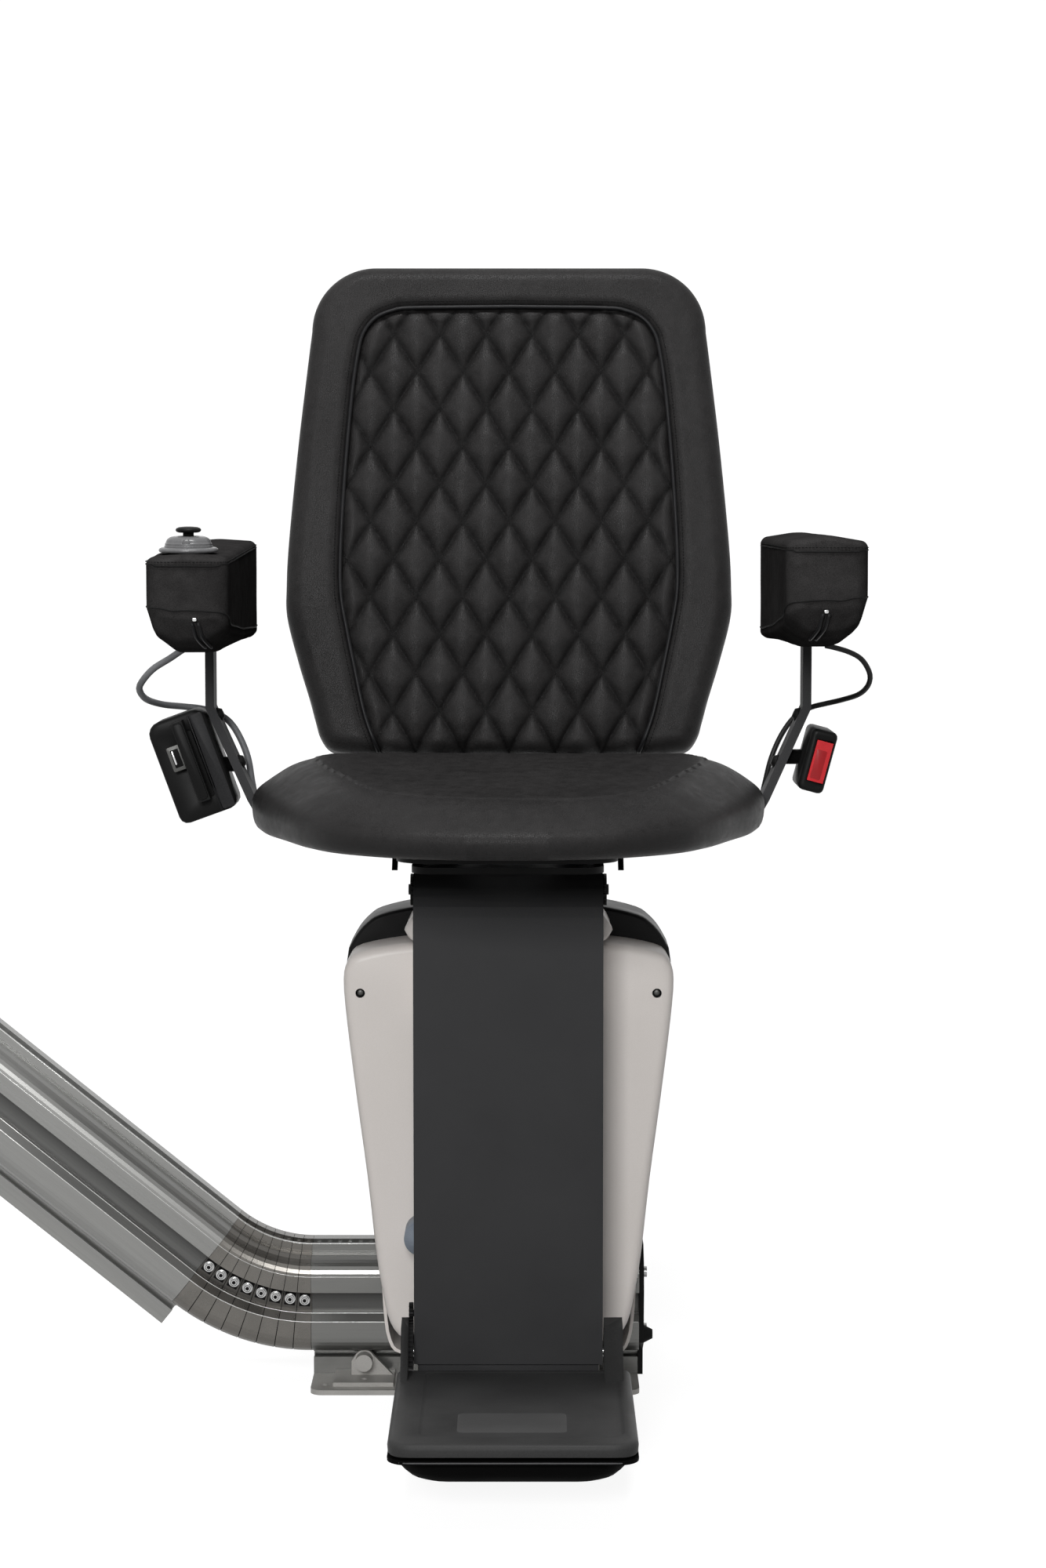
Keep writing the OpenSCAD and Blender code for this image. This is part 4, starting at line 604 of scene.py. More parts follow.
def backDepth(x, v):  # how far the leather lies behind the backrest's front plane
    points = np.stack([np.ravel(x), np.ravel(v)], axis=1)
    edge = distanceTo(backLoop, points)
    inner = pipingDistance(points)
    r = back["round"]
    roll = r - np.sqrt(np.maximum(r * r - np.maximum(r - edge, 0) ** 2, 0))
    groove = back["grooveDeep"] * np.maximum(1 - np.abs(inner) / back["grooveWide"], 0) ** 2
    first, second = quiltWaves(points[:, 0], points[:, 1])
    pillow = (first * second) ** back["pillow"]
    uneven = 1 + back["uneven"] * waves(points, 0.06, 4)
    fade = np.clip(inner / back["fadeOver"], 0, 1)
    panel = back["panelSunk"] + back["quiltDeep"] * (1 - pillow * uneven) * fade + back["panelEdge"] * (1 - fade)
    soft = np.where(inner > 0, 0.35, 0.7) * waves(points, 0.05, 7) + 0.16 * waves(points, 0.24, 9)
    return roll + groove + np.where(inner > 0, panel, 0) + soft * np.clip(edge / 14, 0, 1)


# painted shade in the quilt's valleys and beside the piping
valleyShadePaint = {"valley": 0.62, "power": 3, "piping": 0.6, "reach": 3, "frontOnly": 20}


def paintQuiltValleyShade(mesh):  # painted shade: the attribute is high in the valleys and beside the piping, on the front only
    places = np.array([corner.co for corner in mesh.vertices]) / mm
    lean = math.radians(back["lean"])
    y, z = places[:, 1] - back["foot"][0], places[:, 2] - back["foot"][1]
    depth, v = math.cos(lean) * y - math.sin(lean) * z, math.sin(lean) * y + math.cos(lean) * z
    x = places[:, 0] - chairX / mm
    inner = pipingDistance(np.stack([x, v], axis=1))
    valley = 1 - np.minimum(*quiltWaves(x, v))
    shade = np.where(inner > 0, valleyShadePaint["valley"] * valley ** valleyShadePaint["power"], 0)
    beside = valleyShadePaint["piping"] * np.exp(-np.abs(inner) / valleyShadePaint["reach"])
    shade = np.maximum(shade, beside) * (depth < valleyShadePaint["frontOnly"])
    layer = mesh.attributes.new("paintedValleyShade", "FLOAT", "POINT")
    layer.data.foreach_set("value", np.ascontiguousarray(shade, dtype=np.float32))


edgeSteps = np.array([0, 0.12, 0.5, 1.1, 2.0, 3.2, 4.8, 6.8, 9.2, 12, 15])  # rows crowd towards the rim


def outlineGrid(side, step):
    rows = []
    count = int(round(2 * (max(half for half, _ in side) - edgeSteps[-1]) / step))
    for half, v in side:
        inner = half - edgeSteps[-1] - step * 0.5
        row = np.concatenate([edgeSteps - half, np.linspace(-inner, inner, count), (half - edgeSteps)[::-1]])
        rows.append(atLevel(row, v))
    return np.array(rows)


def boundary(rows, columns):
    right = [i * columns + columns - 1 for i in range(1, rows)]
    far = [(rows - 1) * columns + j for j in range(columns - 2, -1, -1)]
    return list(range(columns)) + right + far + [i * columns for i in range(rows - 2, 0, -1)]


def outwards(loop):
    ahead = np.roll(loop, -1, axis=0) - np.roll(loop, 1, axis=0)
    return unit(np.stack([ahead[:, 1], -ahead[:, 0]], axis=1))


def closeBehind(points, faces, rim, rings):  # joins rings to the grid's rim, and fills the last one
    last, start, count = rim, len(points[0]), len(rim)
    for ring in rings:
        points.append(ring)
        now = list(range(start, start + count))
        faces += [(last[k], last[(k + 1) % count], now[(k + 1) % count], now[k]) for k in range(count)]
        last, start = now, start + count
    faces.append(tuple(last))


def makeBackrest():
    grid = outlineGrid(backSide, 1.9)
    flat = grid.reshape(-1, 2)
    points = [atBack(flat[:, 0], backDepth(flat[:, 0], flat[:, 1]), flat[:, 1])]
    faces = gridFaces(*grid.shape[:2])
    rim = boundary(*grid.shape[:2])
    loop = flat[rim]
    away = outwards(loop)
    thick, r = back["thick"], back["rearRound"]
    rings = []
    for depth, inset in (*back["walls"], (thick - r, 0), (thick - 0.4 * r, 0.2 * r), (thick, r)):
        ring = loop - away * inset
        rings.append(atBack(ring[:, 0], depth, ring[:, 1]))
    closeBehind(points, faces, rim, rings)
    made = meshPiece("backrestLeather", np.vstack(points), faces, materials["leather"])
    # painted shade in the quilt's valleys and beside the piping
    paintQuiltValleyShade(made.data)
    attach(made, "seat_frame")
    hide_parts("back_cushion")


def makePiping():
    x, v = pipingLine.T
    path = atBack(x, backDepth(x, v) - back["pipingSunk"], v)
    bead = loft("backrestPiping", tubeRings(path, back["pipingRadius"] * mm, 10), "piping")
    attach(bead, "seat_frame")


def runsOf(points, keep):
    runs, run = [], []
    for point, good in zip(points, keep):
        if good:
            run.append(point)
        elif len(run) > 4:
            runs.append(run)
        if not good:
            run = []
    return runs + ([run] if len(run) > 4 else [])

backThread = {"thickness": 0.0009, "step": 1.4, "fromPiping": 3.5, "besidePiping": 5.5}


def makeQuiltStitches():
    wide, tall = back["quilt"]
    v = np.arange(-6, back["piping"][-1][1] - 1, backThread["step"])
    lines = []
    for lean in (-1, 1):
        for k in range(-14, 15):
            x = wide * (k + lean * (v - back["quiltFrom"]) / tall)
            keep = (pipingDistance(np.stack([x, v], axis=1)) > backThread["fromPiping"]) & (np.abs(x) < 170)
            if keep.any():
                lines += runsOf(atBack(x, backDepth(x, v) - 0.25, v), keep)
    stitches("quiltStitches", lines, "seat_frame", thickness=backThread["thickness"])
    x, v = (pipingLine - outwards(pipingLine) * backThread["besidePiping"]).T
    stitches("rollStitches", runsOf(atBack(x, backDepth(x, v) - 0.3, v), v > -5), "seat_frame",
             thickness=backThread["thickness"])


# Seat cushion

seat = {
    "side": [(35, -489), (95, -472), (150, -433), (181, -387), (206, -325), (225, -275), (236, -225), (233, -200),
             (209, -164), (180, -144), (146, -140)],
    "under": 577, "frontHigh": 42, "rearHigh": 74, "crown": 4,
    "profile": [(0, 0.42), (0.8, 0.47), (2, 0.51), (4, 0.555), (8, 0.615), (14, 0.68), (22, 0.76), (32, 0.85),
                (44, 0.93), (58, 0.98), (75, 1), (300, 1)],  # share of the height, by the distance from the edge
    "rim": ((0.35, -0.4), (0.28, 0), (0.2, 0.6), (0.13, 1.8), (0.07, 4), (0.02, 8), (0, 12)),
    "notches": [  # low and high corner: room for the base's lugs, then for the arm bars and cables
        ((79, -200, 560), (94, -99, 602)), ((-94, -200, 560), (-79, -99, 602)),
        ((94.2, -206, 560), (244, -100, 605)), ((-244, -206, 560), (-94.2, -100, 605)),
    ],
}


def makeSeatCushion():
    side = spline(seat["side"], 2.6)
    side[:, 1] = np.maximum.accumulate(side[:, 1]) + np.arange(len(side)) * 1e-4
    grid = outlineGrid(side, 2.4)
    flat = grid.reshape(-1, 2)
    loopLine = mirroredLine(side)
    edge = distanceTo(np.vstack([loopLine, loopLine[:1]]), flat)
    front, rear = seat["side"][0][1], seat["side"][-1][1]
    high = seat["frontHigh"] + (seat["rearHigh"] - seat["frontHigh"]) * (flat[:, 1] - front) / (rear - front)
    profile = spline(seat["profile"], 0.5)
    soft = (0.7 * waves(flat, 0.03, 3) + 0.25 * waves(flat, 0.11, 5)) * np.clip(edge / 20, 0, 1)
    top = seat["under"] + high * np.interp(edge, *profile.T) + seat["crown"] * (1 - np.exp(-edge / 90)) + soft
    points = [atChair(flat[:, 0], flat[:, 1], top)]
    faces = gridFaces(*grid.shape[:2])
    rim = boundary(*grid.shape[:2])
    loop = flat[rim]
    away = outwards(loop)
    rings = [atChair(*(loop - away * inset).T, seat["under"] + high[rim] * share) for share, inset in seat["rim"]]
    closeBehind(points, faces, rim, rings)
    made = meshPiece("seatLeather", np.vstack(points), faces, materials["leather"])
    carve(made, [atChair(*boxCorners(low, high).T) for low, high in seat["notches"]], materials["leather"])
    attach(made, "seat")
    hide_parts("seat_cushion")


# Armrests: side -1 is the left one

arm = {
    "mid": 273, "half": 35, "rear": -120, "front": -450, "endRound": 15, "chamferTop": 797,
    "tops": {-1: (843.5, 841), 1: (852, 846)},  # crown and shoulder
    "middle": [(-450, 785), (-442, 771), (-422, 762), (-390, 756), (-330, 752), (-120, 751)],
    "edge": [(-450, 786), (-410, 773), (-290, 761), (-160, 753), (-120, 753)],
    "pivot": (-186, 802), "droop": {-1: 1.9, 1: 0}, "body": {-1: "arm_left", 1: "arm_right"},
    "flat": (19, 22, 6), "rise": 0.3, "rounds": [6, 14, 14, 12, 12, 7, 60, 7],  # the section's lower side and corners
    "slot": ((-0.7, -203.5, 735), (8.7, -100, 818.5)),  # room for the arm's bar
}


def onArm(side, x, y, z):  # x is outwards from the pad's middle
    turn = math.radians(arm["droop"][side])
    midY, midZ = arm["pivot"]
    y, z = np.asarray(y, float) - midY, np.asarray(z, float) - midZ
    return atChair(side * (arm["mid"] + np.asarray(x, float)), midY + y * math.cos(turn) - z * math.sin(turn),
                   midZ + y * math.sin(turn) + z * math.cos(turn))


def filleted(corners, radii, steps=7, between=6):
    corners = np.asarray(corners, float)
    count = len(corners)
    arcs = []
    for i in range(count):
        before, here, after = corners[i - 1], corners[i], corners[(i + 1) % count]
        toBefore, toAfter = unit(before - here), unit(after - here)
        half = math.acos(np.clip(toBefore @ toAfter, -1, 1)) / 2
        reach = radii[i] / math.tan(half)
        centre = here + unit(toBefore + toAfter) * radii[i] / math.sin(half)
        first, second = here + toBefore * reach - centre, here + toAfter * reach - centre
        t = np.linspace(0, 1, steps + 1)[:, None]
        arcs.append(unit(first * (1 - t) + second * t) * radii[i] + centre)
    line = []
    for i in range(count):
        line.append(arcs[i])
        a, b = arcs[i][-1], arcs[(i + 1) % count][0]
        line.append(a + (b - a) * np.linspace(0, 1, between + 2)[1:-1, None])
    return np.vstack(line)


def armLowerEdge(y):
    return np.interp(y, *zip(*arm["edge"]))


def armSection(side, y, inset=0.0):
    crown, shoulder = arm["tops"][side]
    middle, edge = np.interp(y, *zip(*arm["middle"])), armLowerEdge(y)
    half, top = arm["half"], arm["chamferTop"]
    inner, outer, chamfer = arm["flat"]
    corners = [(-half, edge), (-half + inner, middle), (half - outer, middle),
               (half - chamfer, middle + arm["rise"] * (top - middle)), (half, top + 1), (half, shoulder),
               (0, crown), (-half, shoulder)]
    ring = filleted(corners, arm["rounds"])
    return ring - outwards(ring) * inset


def shrunk(ring, share):
    centre = ring.mean(axis=0)
    return centre + (ring - centre) * share


def makeArmPad(side, name):
    r = arm["endRound"]
    bends = np.radians(np.linspace(90, 0, 9))
    ends = [(r * (1 - math.sin(a)), r * (1 - math.cos(a))) for a in bends]
    sections = [(arm["front"] + ahead, inset) for ahead, inset in ends]
    sections += [(y, 0) for y in np.arange(arm["front"] + r + 3, arm["rear"] - r, 3.2)]
    sections += [(arm["rear"] - ahead, inset) for ahead, inset in ends[::-1]]
    loops = [(y, armSection(side, y, 0.3 * inset) * (1 - 0.7 * inset / arm["half"], 1)) for y, inset in sections]
    front, rear = loops[0], loops[-1]
    tip = [(front[0] - 0.4 * (1 - k ** 2), shrunk(front[1], k)) for k in (0.02, 0.25, 0.5, 0.7, 0.85, 0.95)]
    tail = [(rear[0], shrunk(rear[1], k)) for k in (0.8, 0.5, 0.2, 0.02)]
    rings = []
    for y, ring in tip + loops + tail:
        if len(rings) > len(tip):
            ring = ring + outwards(ring) * 0.5 * waves(atLevel(ring, y), 0.05, 11)[:, None]
        rings.append(onArm(side, ring[:, 0], y, ring[:, 1]))
    made = loft(name, rings, "litArmLeather")
    slot = boxCorners(*arm["slot"])
    if side < 0:  # mirrored, so its corners go the other way round
        slot = slot[[1, 0, 3, 2, 5, 4, 7, 6]]
    carve(made, [onArm(side, *slot.T)], materials["litArmLeather"])
    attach(made, arm["body"][side])
    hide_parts("arm_pad_left" if side < 0 else "arm_pad_right")


armSeams = {
    "weltZ": {-1: 835.5, 1: 839}, "weltRadius": 0.7, "threadAbove": 2.2, "threadThick": 0.0009,
    "outerLine": (-136, -200, -300, -400, -434), "outerZ": 799, "frontZ": 796.5,
    "innerLine": (-434, -410, -350, -290, -220, -160, -136), "innerAbove": 9, "lowerRadius": 0.75,
    "zip": {-1: (-7.6, 788), 1: (-1.7, 787)}, "zipHalf": 2.6, "tapeRadius": 1.5,
    "zipLine": ((0, -451.6, -2), (-1, -450.6, -5), (-3, -445, -14), (-6, -436, -20), (-9, -424, -25)),
    "pull": (3.6, 3, 2.2), "pullDown": {-1: 7.8, 1: 0},
}


def armLoop(grow):  # the pad seen from above
    half, r = arm["half"] + grow, arm["endRound"] + grow
    y0, y1 = arm["front"] - grow - 0.6, arm["rear"] + grow
    x, low, high = half - r, y0 + r, y1 - r
    corners = [((x, low), -90), ((x, high), 0), ((-x, high), 90), ((-x, low), 180)]
    loop = np.vstack([arc(centre, r, start, start + 90, 7) for centre, start in corners])
    return evenly(np.vstack([loop, loop[:1]]), 3)


def lowerSeamLine():  # outer side, round the front, and back along the inner side
    half, front, high = arm["half"], arm["front"], armSeams["frontZ"]
    line = [(half + 0.1, y, armSeams["outerZ"]) for y in armSeams["outerLine"]]
    line += [(half - 4.4, front + 4.3, high + 2), (half - 15, front - 0.2, high + 1.5)]
    line += [(x, front - 0.3, high - 0.04 * abs(x)) for x in (12, 0, -12)]
    line += [(-half + 15, front - 0.2, high - 1), (-half + 4.4, front + 4.3, high - 2.5)]
    line += [(-half - 0.1, y, armLowerEdge(y) + armSeams["innerAbove"]) for y in armSeams["innerLine"]]
    return spline(line, 4)


def makeArmSeams(side, name):
    x, y = armLoop(-0.1).T
    high = armSeams["weltZ"][side]
    path = onArm(side, x, y, high - 1.5 * (y < arm["front"] + 2))
    welt = loft(name + "Welt", tubeRings(path, armSeams["weltRadius"] * mm, 6), "thread")
    row = onArm(side, *armLoop(0.2).T, high + armSeams["threadAbove"])
    stitches(name + "Stitches", [row], arm["body"][side], thickness=armSeams["threadThick"])
    path = onArm(side, *lowerSeamLine().T)
    seam = loft(name + "LowerSeam", tubeRings(path, armSeams["lowerRadius"] * mm, 6), "thread")
    zipX, zipZ = armSeams["zip"][side]
    tapes = []
    for off in (-armSeams["zipHalf"], armSeams["zipHalf"]):
        line = spline([(zipX + x + off, y, zipZ + z) for x, y, z in armSeams["zipLine"]], 3)
        tapes.append(tubeRings(onArm(side, *line.T), armSeams["tapeRadius"] * mm, 8))
    tape = lofts(name + "ZipTape", tapes, "piping")
    place = (side * (arm["mid"] + zipX), -452, zipZ - armSeams["pullDown"][side])
    pull = slab(name + "ZipPull", place, armSeams["pull"], facingFront, "chrome", arm["body"][side], "leather",
                bevel=0.3)
    for made in (welt, seam, tape, pull):
        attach(made, arm["body"][side])


# Cables: each leaves its armrest, is held at the arm's bar, and goes down into the seat's base

cables = {
    "cable_left": {"side": -1, "body": "arm_left", "finish": "grey_cable", "thick": 6.3, "route": [
        (292, -218, 748), (300, -217, 744), (312, -215, 736), (328, -211, 726), (339, -206, 714), (342, -200, 706),
        (337, -190, 697), (324, -172, 691), (306, -157, 688), (290, -154, 686), (276, -154, 682), (263, -157, 674),
        (253, -161, 660), (245, -163, 640)]},
    "cable_right": {"side": 1, "body": "arm_right", "finish": "black_cable", "thick": 5, "route": [
        (292, -218, 748), (301, -217, 746), (314, -215, 742), (325, -212, 736), (332, -208, 727), (335, -204, 718),
        (333, -198, 709), (326, -186, 701), (312, -170, 695), (298, -161, 691), (284, -157, 687), (270, -156, 679),
        (257, -159, 662), (247, -163, 640)]},
}

cableEnd = [  # under the seat, the same for both
    (241, -163, 616), (237, -163, 601), (226, -163, 592), (190, -163, 590), (150, -163, 590),
    (120, -163, 589), (107, -163, 581), (101, -163, 569), (100, -163, 556),
]


def makeCables():
    for node, look in cables.items():
        route = spline(np.array(look["route"] + cableEnd) * (look["side"], 1, 1), 4)
        path = atChair(*route.T)
        made = loft(node + "Flex", tubeRings(path, look["thick"] / 2 * mm, 12), look["finish"])
        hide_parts(node)
        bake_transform(made)


# Joystick: ringed dome on a flange, with a knob on a short neck; profiles are (radius, height)

joystick = {
    "place": (-275, -400, 847),
    "flange": [(0, -3), (25, -3), (25.6, -2.2), (25.6, -0.8), (24.9, 0.1), (23.4, 0.8), (21, 1.1), (0, 1.1)],
    "dome": [(20.8, 0.6), (20.8, 2.2), (20.3, 2.6), (20.2, 4.4), (19.6, 4.8), (19.2, 6.4), (18.4, 7.8), (17, 9),
             (15.4, 9.9), (13.4, 10.4), (9.4, 10.6), (9, 10), (7, 10)],
    "neck": [(4.7, 6), (4.7, 13.5), (5.2, 14), (6.2, 14.2)],
    "knob": [(0, 13.6), (8.6, 13.7), (10.2, 14.3), (11, 15.4), (11, 16.4), (10.2, 17.4), (8, 18.3), (4, 18.7),
             (0, 18.8)],
    "oval": {"ahead": 19.3, "up": 5.4, "half": (3.4, 3.8), "rings": ((1, -2), (1, 0.2), (0.85, 0.5), (0.4, 0.6))},
}


def turned(name, profile, place, material, around=64):
    across, ahead = circle(around)
    rings = []
    for radius, z in profile:
        radius = max(radius, 0.02)
        rings.append(onArm(-1, -place[0] - arm["mid"] + radius * across, place[1] + radius * ahead, place[2] + z))
    made = loft(name, rings, material)
    made.data.set_sharp_from_angle(angle=math.radians(45))
    return made


def makeJoystick():
    for part, material, body, slot, node in (
            ("flange", "dome", "arm_left", "black_plastic", None),
            ("dome", "dome", "arm_left", "grey_plastic", "joystick_base"),
            ("neck", "black_plastic", "stick", "black_plastic", None),
            ("knob", "black_plastic", "stick", "black_plastic", "joystick")):
        made = turned("joystick" + part.capitalize(), joystick[part], joystick["place"], material)
        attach(made, body)
        if node:
            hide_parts(node)


def makeOval():  # the plain raised oval on the dome's front
    x, y, z = joystick["place"]
    oval = joystick["oval"]
    wide, high = oval["half"]
    across, up = circle(28)
    rings = [onArm(-1, -x - arm["mid"] + r * wide * across, y - oval["ahead"] - ahead, z + oval["up"] + r * high * up)
             for r, ahead in oval["rings"]]
    made = loft("joystickOval", rings, "dome")
    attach(made, "arm_left")


# Small parts with rounded edges

def slab(name, centre, size, turn, material, body, slot, bevel=0.4):
    x, y, z = np.array(size) / 2
    r = min(bevel * 4, x * 0.9, y * 0.9)
    corners = filleted([(-x, -y), (x, -y), (x, y), (-x, y)], [r] * 4, steps=4, between=0)
    rings = []
    for height, inset in ((-z, 0), (z - bevel, 0), (z - 0.3 * bevel, 0.3 * bevel), (z, bevel)):
        ring = atLevel(corners - outwards(corners) * inset, height) @ turn.T + np.array(centre)
        rings.append(atChair(*ring.T))
    made = loft(name, rings, material)
    made.data.set_sharp_from_angle(angle=math.radians(40))
    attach(made, body)
    return made


def turnAbout(axis, degrees):
    a = math.radians(degrees)
    c, s = math.cos(a), math.sin(a)
    return np.array({"x": [[1, 0, 0], [0, c, -s], [0, s, c]], "y": [[c, 0, s], [0, 1, 0], [-s, 0, c]],
                     "z": [[c, -s, 0], [s, c, 0], [0, 0, 1]]}[axis])


flatUp = np.eye(3)
facingFront = turnAbout("x", 90)
reel = {"place": (-292.9, -186, 636), "tilt": -20}
buckle = {"place": (284, -206, 643), "tilt": 15}
beltTrim = [  # case, name, centre, size, finish, body, slot, bevel
    (reel, "reelStrip", (19.5, -25.4, -1), (12, 92, 1.6), "stripGrey", "seat_frame", "black_plastic", 0.5),
    (reel, "reelRib", (12.2, -25.6, -1), (1.4, 92, 2.4), "piping", "seat_frame", "black_plastic", 0.3),
    (reel, "reelWebbing", (8.6, -26, 0), (4.6, 64, 3), "webbing", "seat_frame", "black_cable", 0.4),
    (reel, "tonguePlate", (2, -43.3, 5), (9.5, 74, 2.6), "black_plastic", "seat_frame", "black_plastic", 0.9),
    (reel, "latchFrame", (-9.5, -35.6, 12), (12.6, 23.6, 1.6), "rack", "seat_frame", "steel", 0.4),
    (reel, "latchWindow", (-9.3, -36.5, 12), (7.6, 17, 0.5), "thread", "seat_frame", "black_plastic", 0.15),
    (reel, "latchBar", (-11.4, -36.9, 13), (1.6, 13, 0.9), "chrome", "seat_frame", "steel", 0.2),
    # a flat darker red slab on the button: painted shade of its lower facet
    (buckle, "buttonFacetShade", (1.2, -36.1, -3), (9.5, 27, 0.5), "shadedRed", "button", "red", 0.2),
]


def makeBelt():
    for case, name, centre, size, material, body, slot, bevel in beltTrim:
        turn = turnAbout("y", case["tilt"])
        place = turn @ np.array(centre) + np.array(case["place"])
        slab(name, place, size, turn @ facingFront, material, body, slot, bevel=bevel)


# Rail: seals between the links, their screws, dark plates of painted shade in the screws' notches, and thin bright
# tubes along the edges as painted highlights; section points are (y, z)

rail = {
    "section": [[(30, 35), (30, 141), (13, 141), (13, 126.5), (-5, 126.5), (-5, 141), (-10, 141), (-10, 133.5),
                 (-12, 133.5), (-12, 132)], arc((-15, 112), 20, 90, 180, 9),
                [(-35, 97), (-17, 97), (-17, 74.5), (-26, 74.5), (-32, 67)], arc((-17, 50), 15, 180, 270, 7)],
    "sealIn": 0.7, "screwZ": 85.75, "notch": (5.4, 6.6), "notchY": (-16.9, -17.4),
    "socket": ((2.4, -19.9), (2.4, -20.3)),  # radius and y
    "ring": ((2.9, -21.8), (2.9, -22.1), (3.4, -22.1), (3.4, -21.8), (2.9, -21.8)),
    "edges": ((-32, 66.9, 0.45), (-26, 74.5, 0.4), (-10, 141, 0.4), (-34.9, 113, 0.3)),  # y, z and radius of the thin bright tubes, painted highlights along the edges
    "level": (325, 250, 160, 80, 20), "incline": (-20, -100, -200, -329),
}


def onCurve(x, y, z, degrees):
    a, midX, midZ = math.radians(degrees), railBend["x"], railBend["z"]
    x, y, z = (np.asarray(value, float) for value in np.broadcast_arrays(x, y, z))
    return np.stack([midX + x * math.cos(a) + (z - midZ) * math.sin(a), y,
                     midZ - x * math.sin(a) + (z - midZ) * math.cos(a)], axis=-1) * mm


def screwRings(profile, link):
    across, up = circle(20)
    return [onCurve(r * across, y, rail["screwZ"] + r * up, link) for r, y in profile]


def makeRailTrim():
    section = np.vstack(rail["section"])
    y, z = (section - outwards(section) * rail["sealIn"]).T
    joints = [k * railBend["turn"] / railBend["links"] for k in range(railBend["links"] + 1)]
    links = [(k + 0.5) * railBend["turn"] / railBend["links"] for k in range(railBend["links"])]
    gaskets = [[onCurve(x, y, z, joint) for x in (-0.7, 0.7)] for joint in joints]
    seals = lofts("linkSeals", gaskets, "thread", sharp=30)
    # dark plates on the recess wall behind the screws: painted shade for the notches they sit in
    wide, high = np.array([(-1, -1), (1, -1), (1, 1), (-1, 1)]).T * np.array(rail["notch"])[:, None]
    notches = [[onCurve(wide, depth, rail["screwZ"] + high, link) for depth in rail["notchY"]] for link in links]
    notchShades = lofts("screwNotchShade", notches, "thread", sharp=30)
    sockets = lofts("screwSockets", [screwRings(rail["socket"], link) for link in links], "thread", sharp=30)
    rings = lofts("screwRings", [screwRings(rail["ring"], link) for link in links], "thread", caps=False, sharp=30)
    # thin bright tubes along the section's edges: painted highlights
    edges = []
    for y, z, radius in rail["edges"]:
        bend = [onCurve(0, y, z, a)[None] for a in np.linspace(0, railBend["turn"], 27)]
        path = np.vstack([onCurve(rail["level"], y, z, 0), *bend, onCurve(rail["incline"], y, z, railBend["turn"])])
        edges.append(tubeRings(path, radius * mm, 8))
    highlightTubes = lofts("paintedEdgeHighlights", edges, "edgeHighlightPaint")
    for made, slot in ((seals, "rubber"), (notchShades, "dark_steel"), (sockets, "dark_steel"), (rings, "dark_steel"),
                       (highlightTubes, "steel")):
        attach(made, "rail")


# Cover: screws in their holes, dark wells round them as painted shade, and the skirt under the column's plate

cover = {
    "holes": [(-140, -172, 418), (140, -172, 418)],  # profiles below are (radius, how far ahead)
    "well": [(5.2, -9), (5.2, -6), (4.9, -5.2)], "screw": [(2.8, -5.3), (2.8, -4), (2.3, -3.6)],
    "skirt": ((0, -245.6, 76), (168, 19, 1.8)),
}


def discs(name, places, profile, material, body):
    across, up = circle(32)
    sets = [[atChair(x + r * across, y - ahead, z + r * up) for r, ahead in profile] for x, y, z in places]
    made = lofts(name, sets, material, sharp=40)
    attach(made, body)


def makeCoverTrim():
    # near-black wells in the screw holes: painted shade
    discs("holeWellShade", cover["holes"], cover["well"], "thread", "carriage")
    discs("holeScrews", cover["holes"], cover["screw"], "rack", "carriage")
    slab("columnSkirt", *cover["skirt"], facingFront, "column", "carriage", slotOf["column_plate"], bevel=0.4)


# Tread: moulded shell with a sunken panel, and the rim of the tray under it

tread = {
    "outer": [(-103, -505), (113, -505), (113, -258), (-103, -258)], "outerRound": [22, 22, 5, 5],
    "panel": [(-77, -480), (102, -480), (102, -266), (-77, -266)], "panelRound": [14, 14, 10, 10],
    "edge": [(68.6, 0.4), (74.4, 0), (76.4, 0.4), (78, 1.4), (79.1, 3), (79.6, 5.5)],  # height and inset
    "dish": [(79.6, 0), (79.3, 0.7), (78.6, 2), (78.3, 3.6)],
    "label": ((4, -432, 78.4), (97, 62, 0.5)),  # plain and blank
    "trayRim": [(-102, -504), (112, -504), (112, -258), (-102, -258)], "trayRound": [18, 18, 4, 4],
    "trayZ": 63.6, "trayRadius": 1.3,
}


def makeTread():
    rings = []
    for outline, rounds, steps in (("outer", "outerRound", "edge"), ("panel", "panelRound", "dish")):
        line = filleted(tread[outline], tread[rounds], steps=9, between=10)
        rings += [atChair(*(line - outwards(line) * inset).T, z) for z, inset in tread[steps]]
    made = loft("treadShell", rings, "grey_plastic")
    made.data.set_sharp_from_angle(angle=math.radians(50))
    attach(made, "footrest")
    slab("labelPlace", *tread["label"], flatUp, "label", "footrest", "grey_plastic", bevel=1.6)
    lip = filleted(tread["trayRim"], tread["trayRound"], steps=9, between=10)
    lip = evenly(np.vstack([lip, lip[:1]]), 4)
    path = atChair(*lip.T, tread["trayZ"])
    line = loft("trayRim", tubeRings(path, tread["trayRadius"] * mm, 8), "rim")
    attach(line, "tray")


# Floor and backdrop

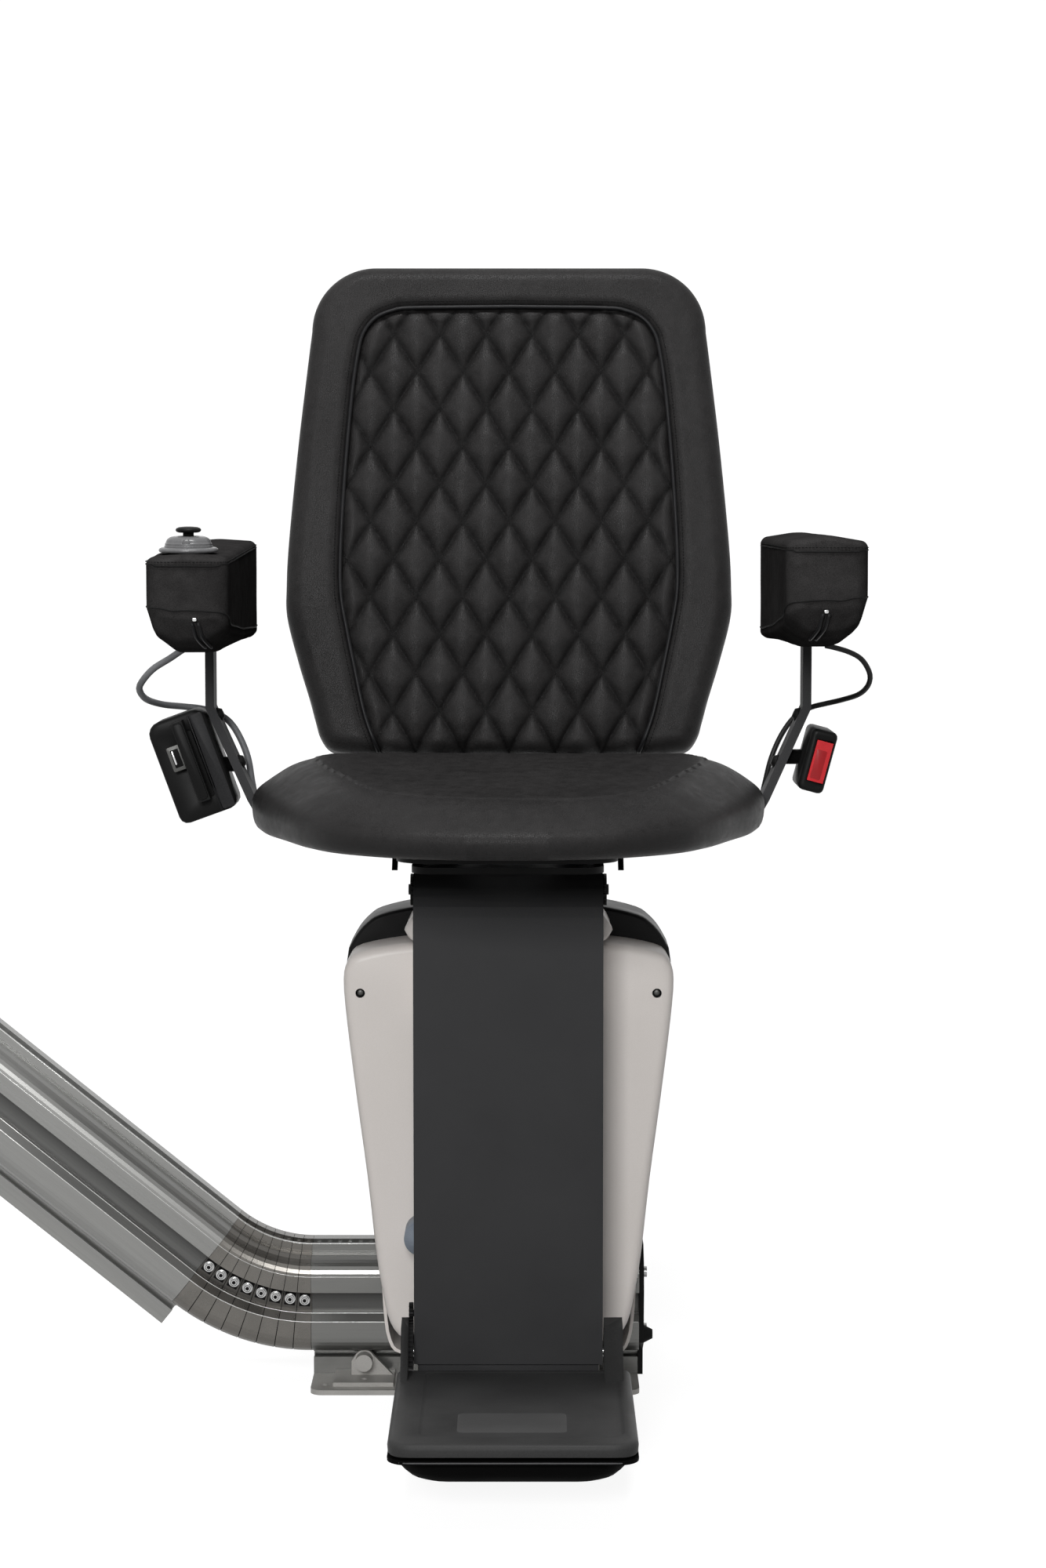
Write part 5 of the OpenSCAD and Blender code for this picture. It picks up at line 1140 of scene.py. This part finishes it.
def seenRay(tree):  # 1 for what the camera, a reflection or glass sees, 0 for the light on the object
    path = addNode(tree, "ShaderNodeLightPath").outputs
    some = compute(tree, "MAXIMUM", path["Is Camera Ray"], path["Is Glossy Ray"])
    return compute(tree, "MAXIMUM", some, path["Is Transmission Ray"])


def makeSweep():
    half, bend = sweep["halfWidth"], sweep["bend"]
    start = sweep["back"] - bend
    profile = [(sweep["front"], 0), (start, 0)]
    for a in np.radians(np.linspace(5, 90, 18)):
        profile.append((start + bend * math.sin(a), bend - bend * math.cos(a)))
    profile.append((sweep["back"], sweep["height"]))
    points = [(x, y, z) for y, z in profile for x in (-half, half)]
    material, tree, shader = newMaterial("paper")
    speck = addNode(tree, "ShaderNodeTexNoise", {"Scale": 6})
    tree.links.new(rescale(tree, speck.outputs[0], 0, 1, *sweep["grey"]), shader.inputs["Base Color"])
    shader.inputs["Roughness"].default_value = 0.9
    shader.inputs["Emission Color"].default_value = (1, 1, 1, 1)
    glow = compute(tree, "MULTIPLY", seenRay(tree), sweep["show"])
    tree.links.new(glow, shader.inputs["Emission Strength"])
    made = meshPiece("paperSweep", points, gridFaces(len(profile), 2), material)


def makeWorld():
    world = bpy.data.worlds.new("studio")
    world.use_nodes = True
    tree = world.node_tree
    sky = tree.nodes["Background"]
    tree.links.new(rescale(tree, seenRay(tree), 0, 1, sweep["world"], 1), sky.inputs["Strength"])
    sky.inputs["Color"].default_value = (1, 1, 1, 1)
    bpy.context.scene.world = world


makeCamera()
makeLamps()
makeCables()
print("camera, lamps and cables made")
dressNodes()
mergeNodes()
print("CAD pieces finished")
makeBackrest()
makePiping()
makeQuiltStitches()
print("backrest made")
makeSeatCushion()
print("seat made")
for side, name in ((-1, "armPadLeft"), (1, "armPadRight")):
    makeArmPad(side, name)
    makeArmSeams(side, name)
makeJoystick()
makeOval()
print("armrests and joystick made")
makeBelt()
makeTread()
makeCoverTrim()
makeRailTrim()
print("belt, tread, cover and rail trimmed")
makeSweep()
makeWorld()
print("floor and backdrop made")
bpy.context.scene.view_settings.view_transform = "Standard"
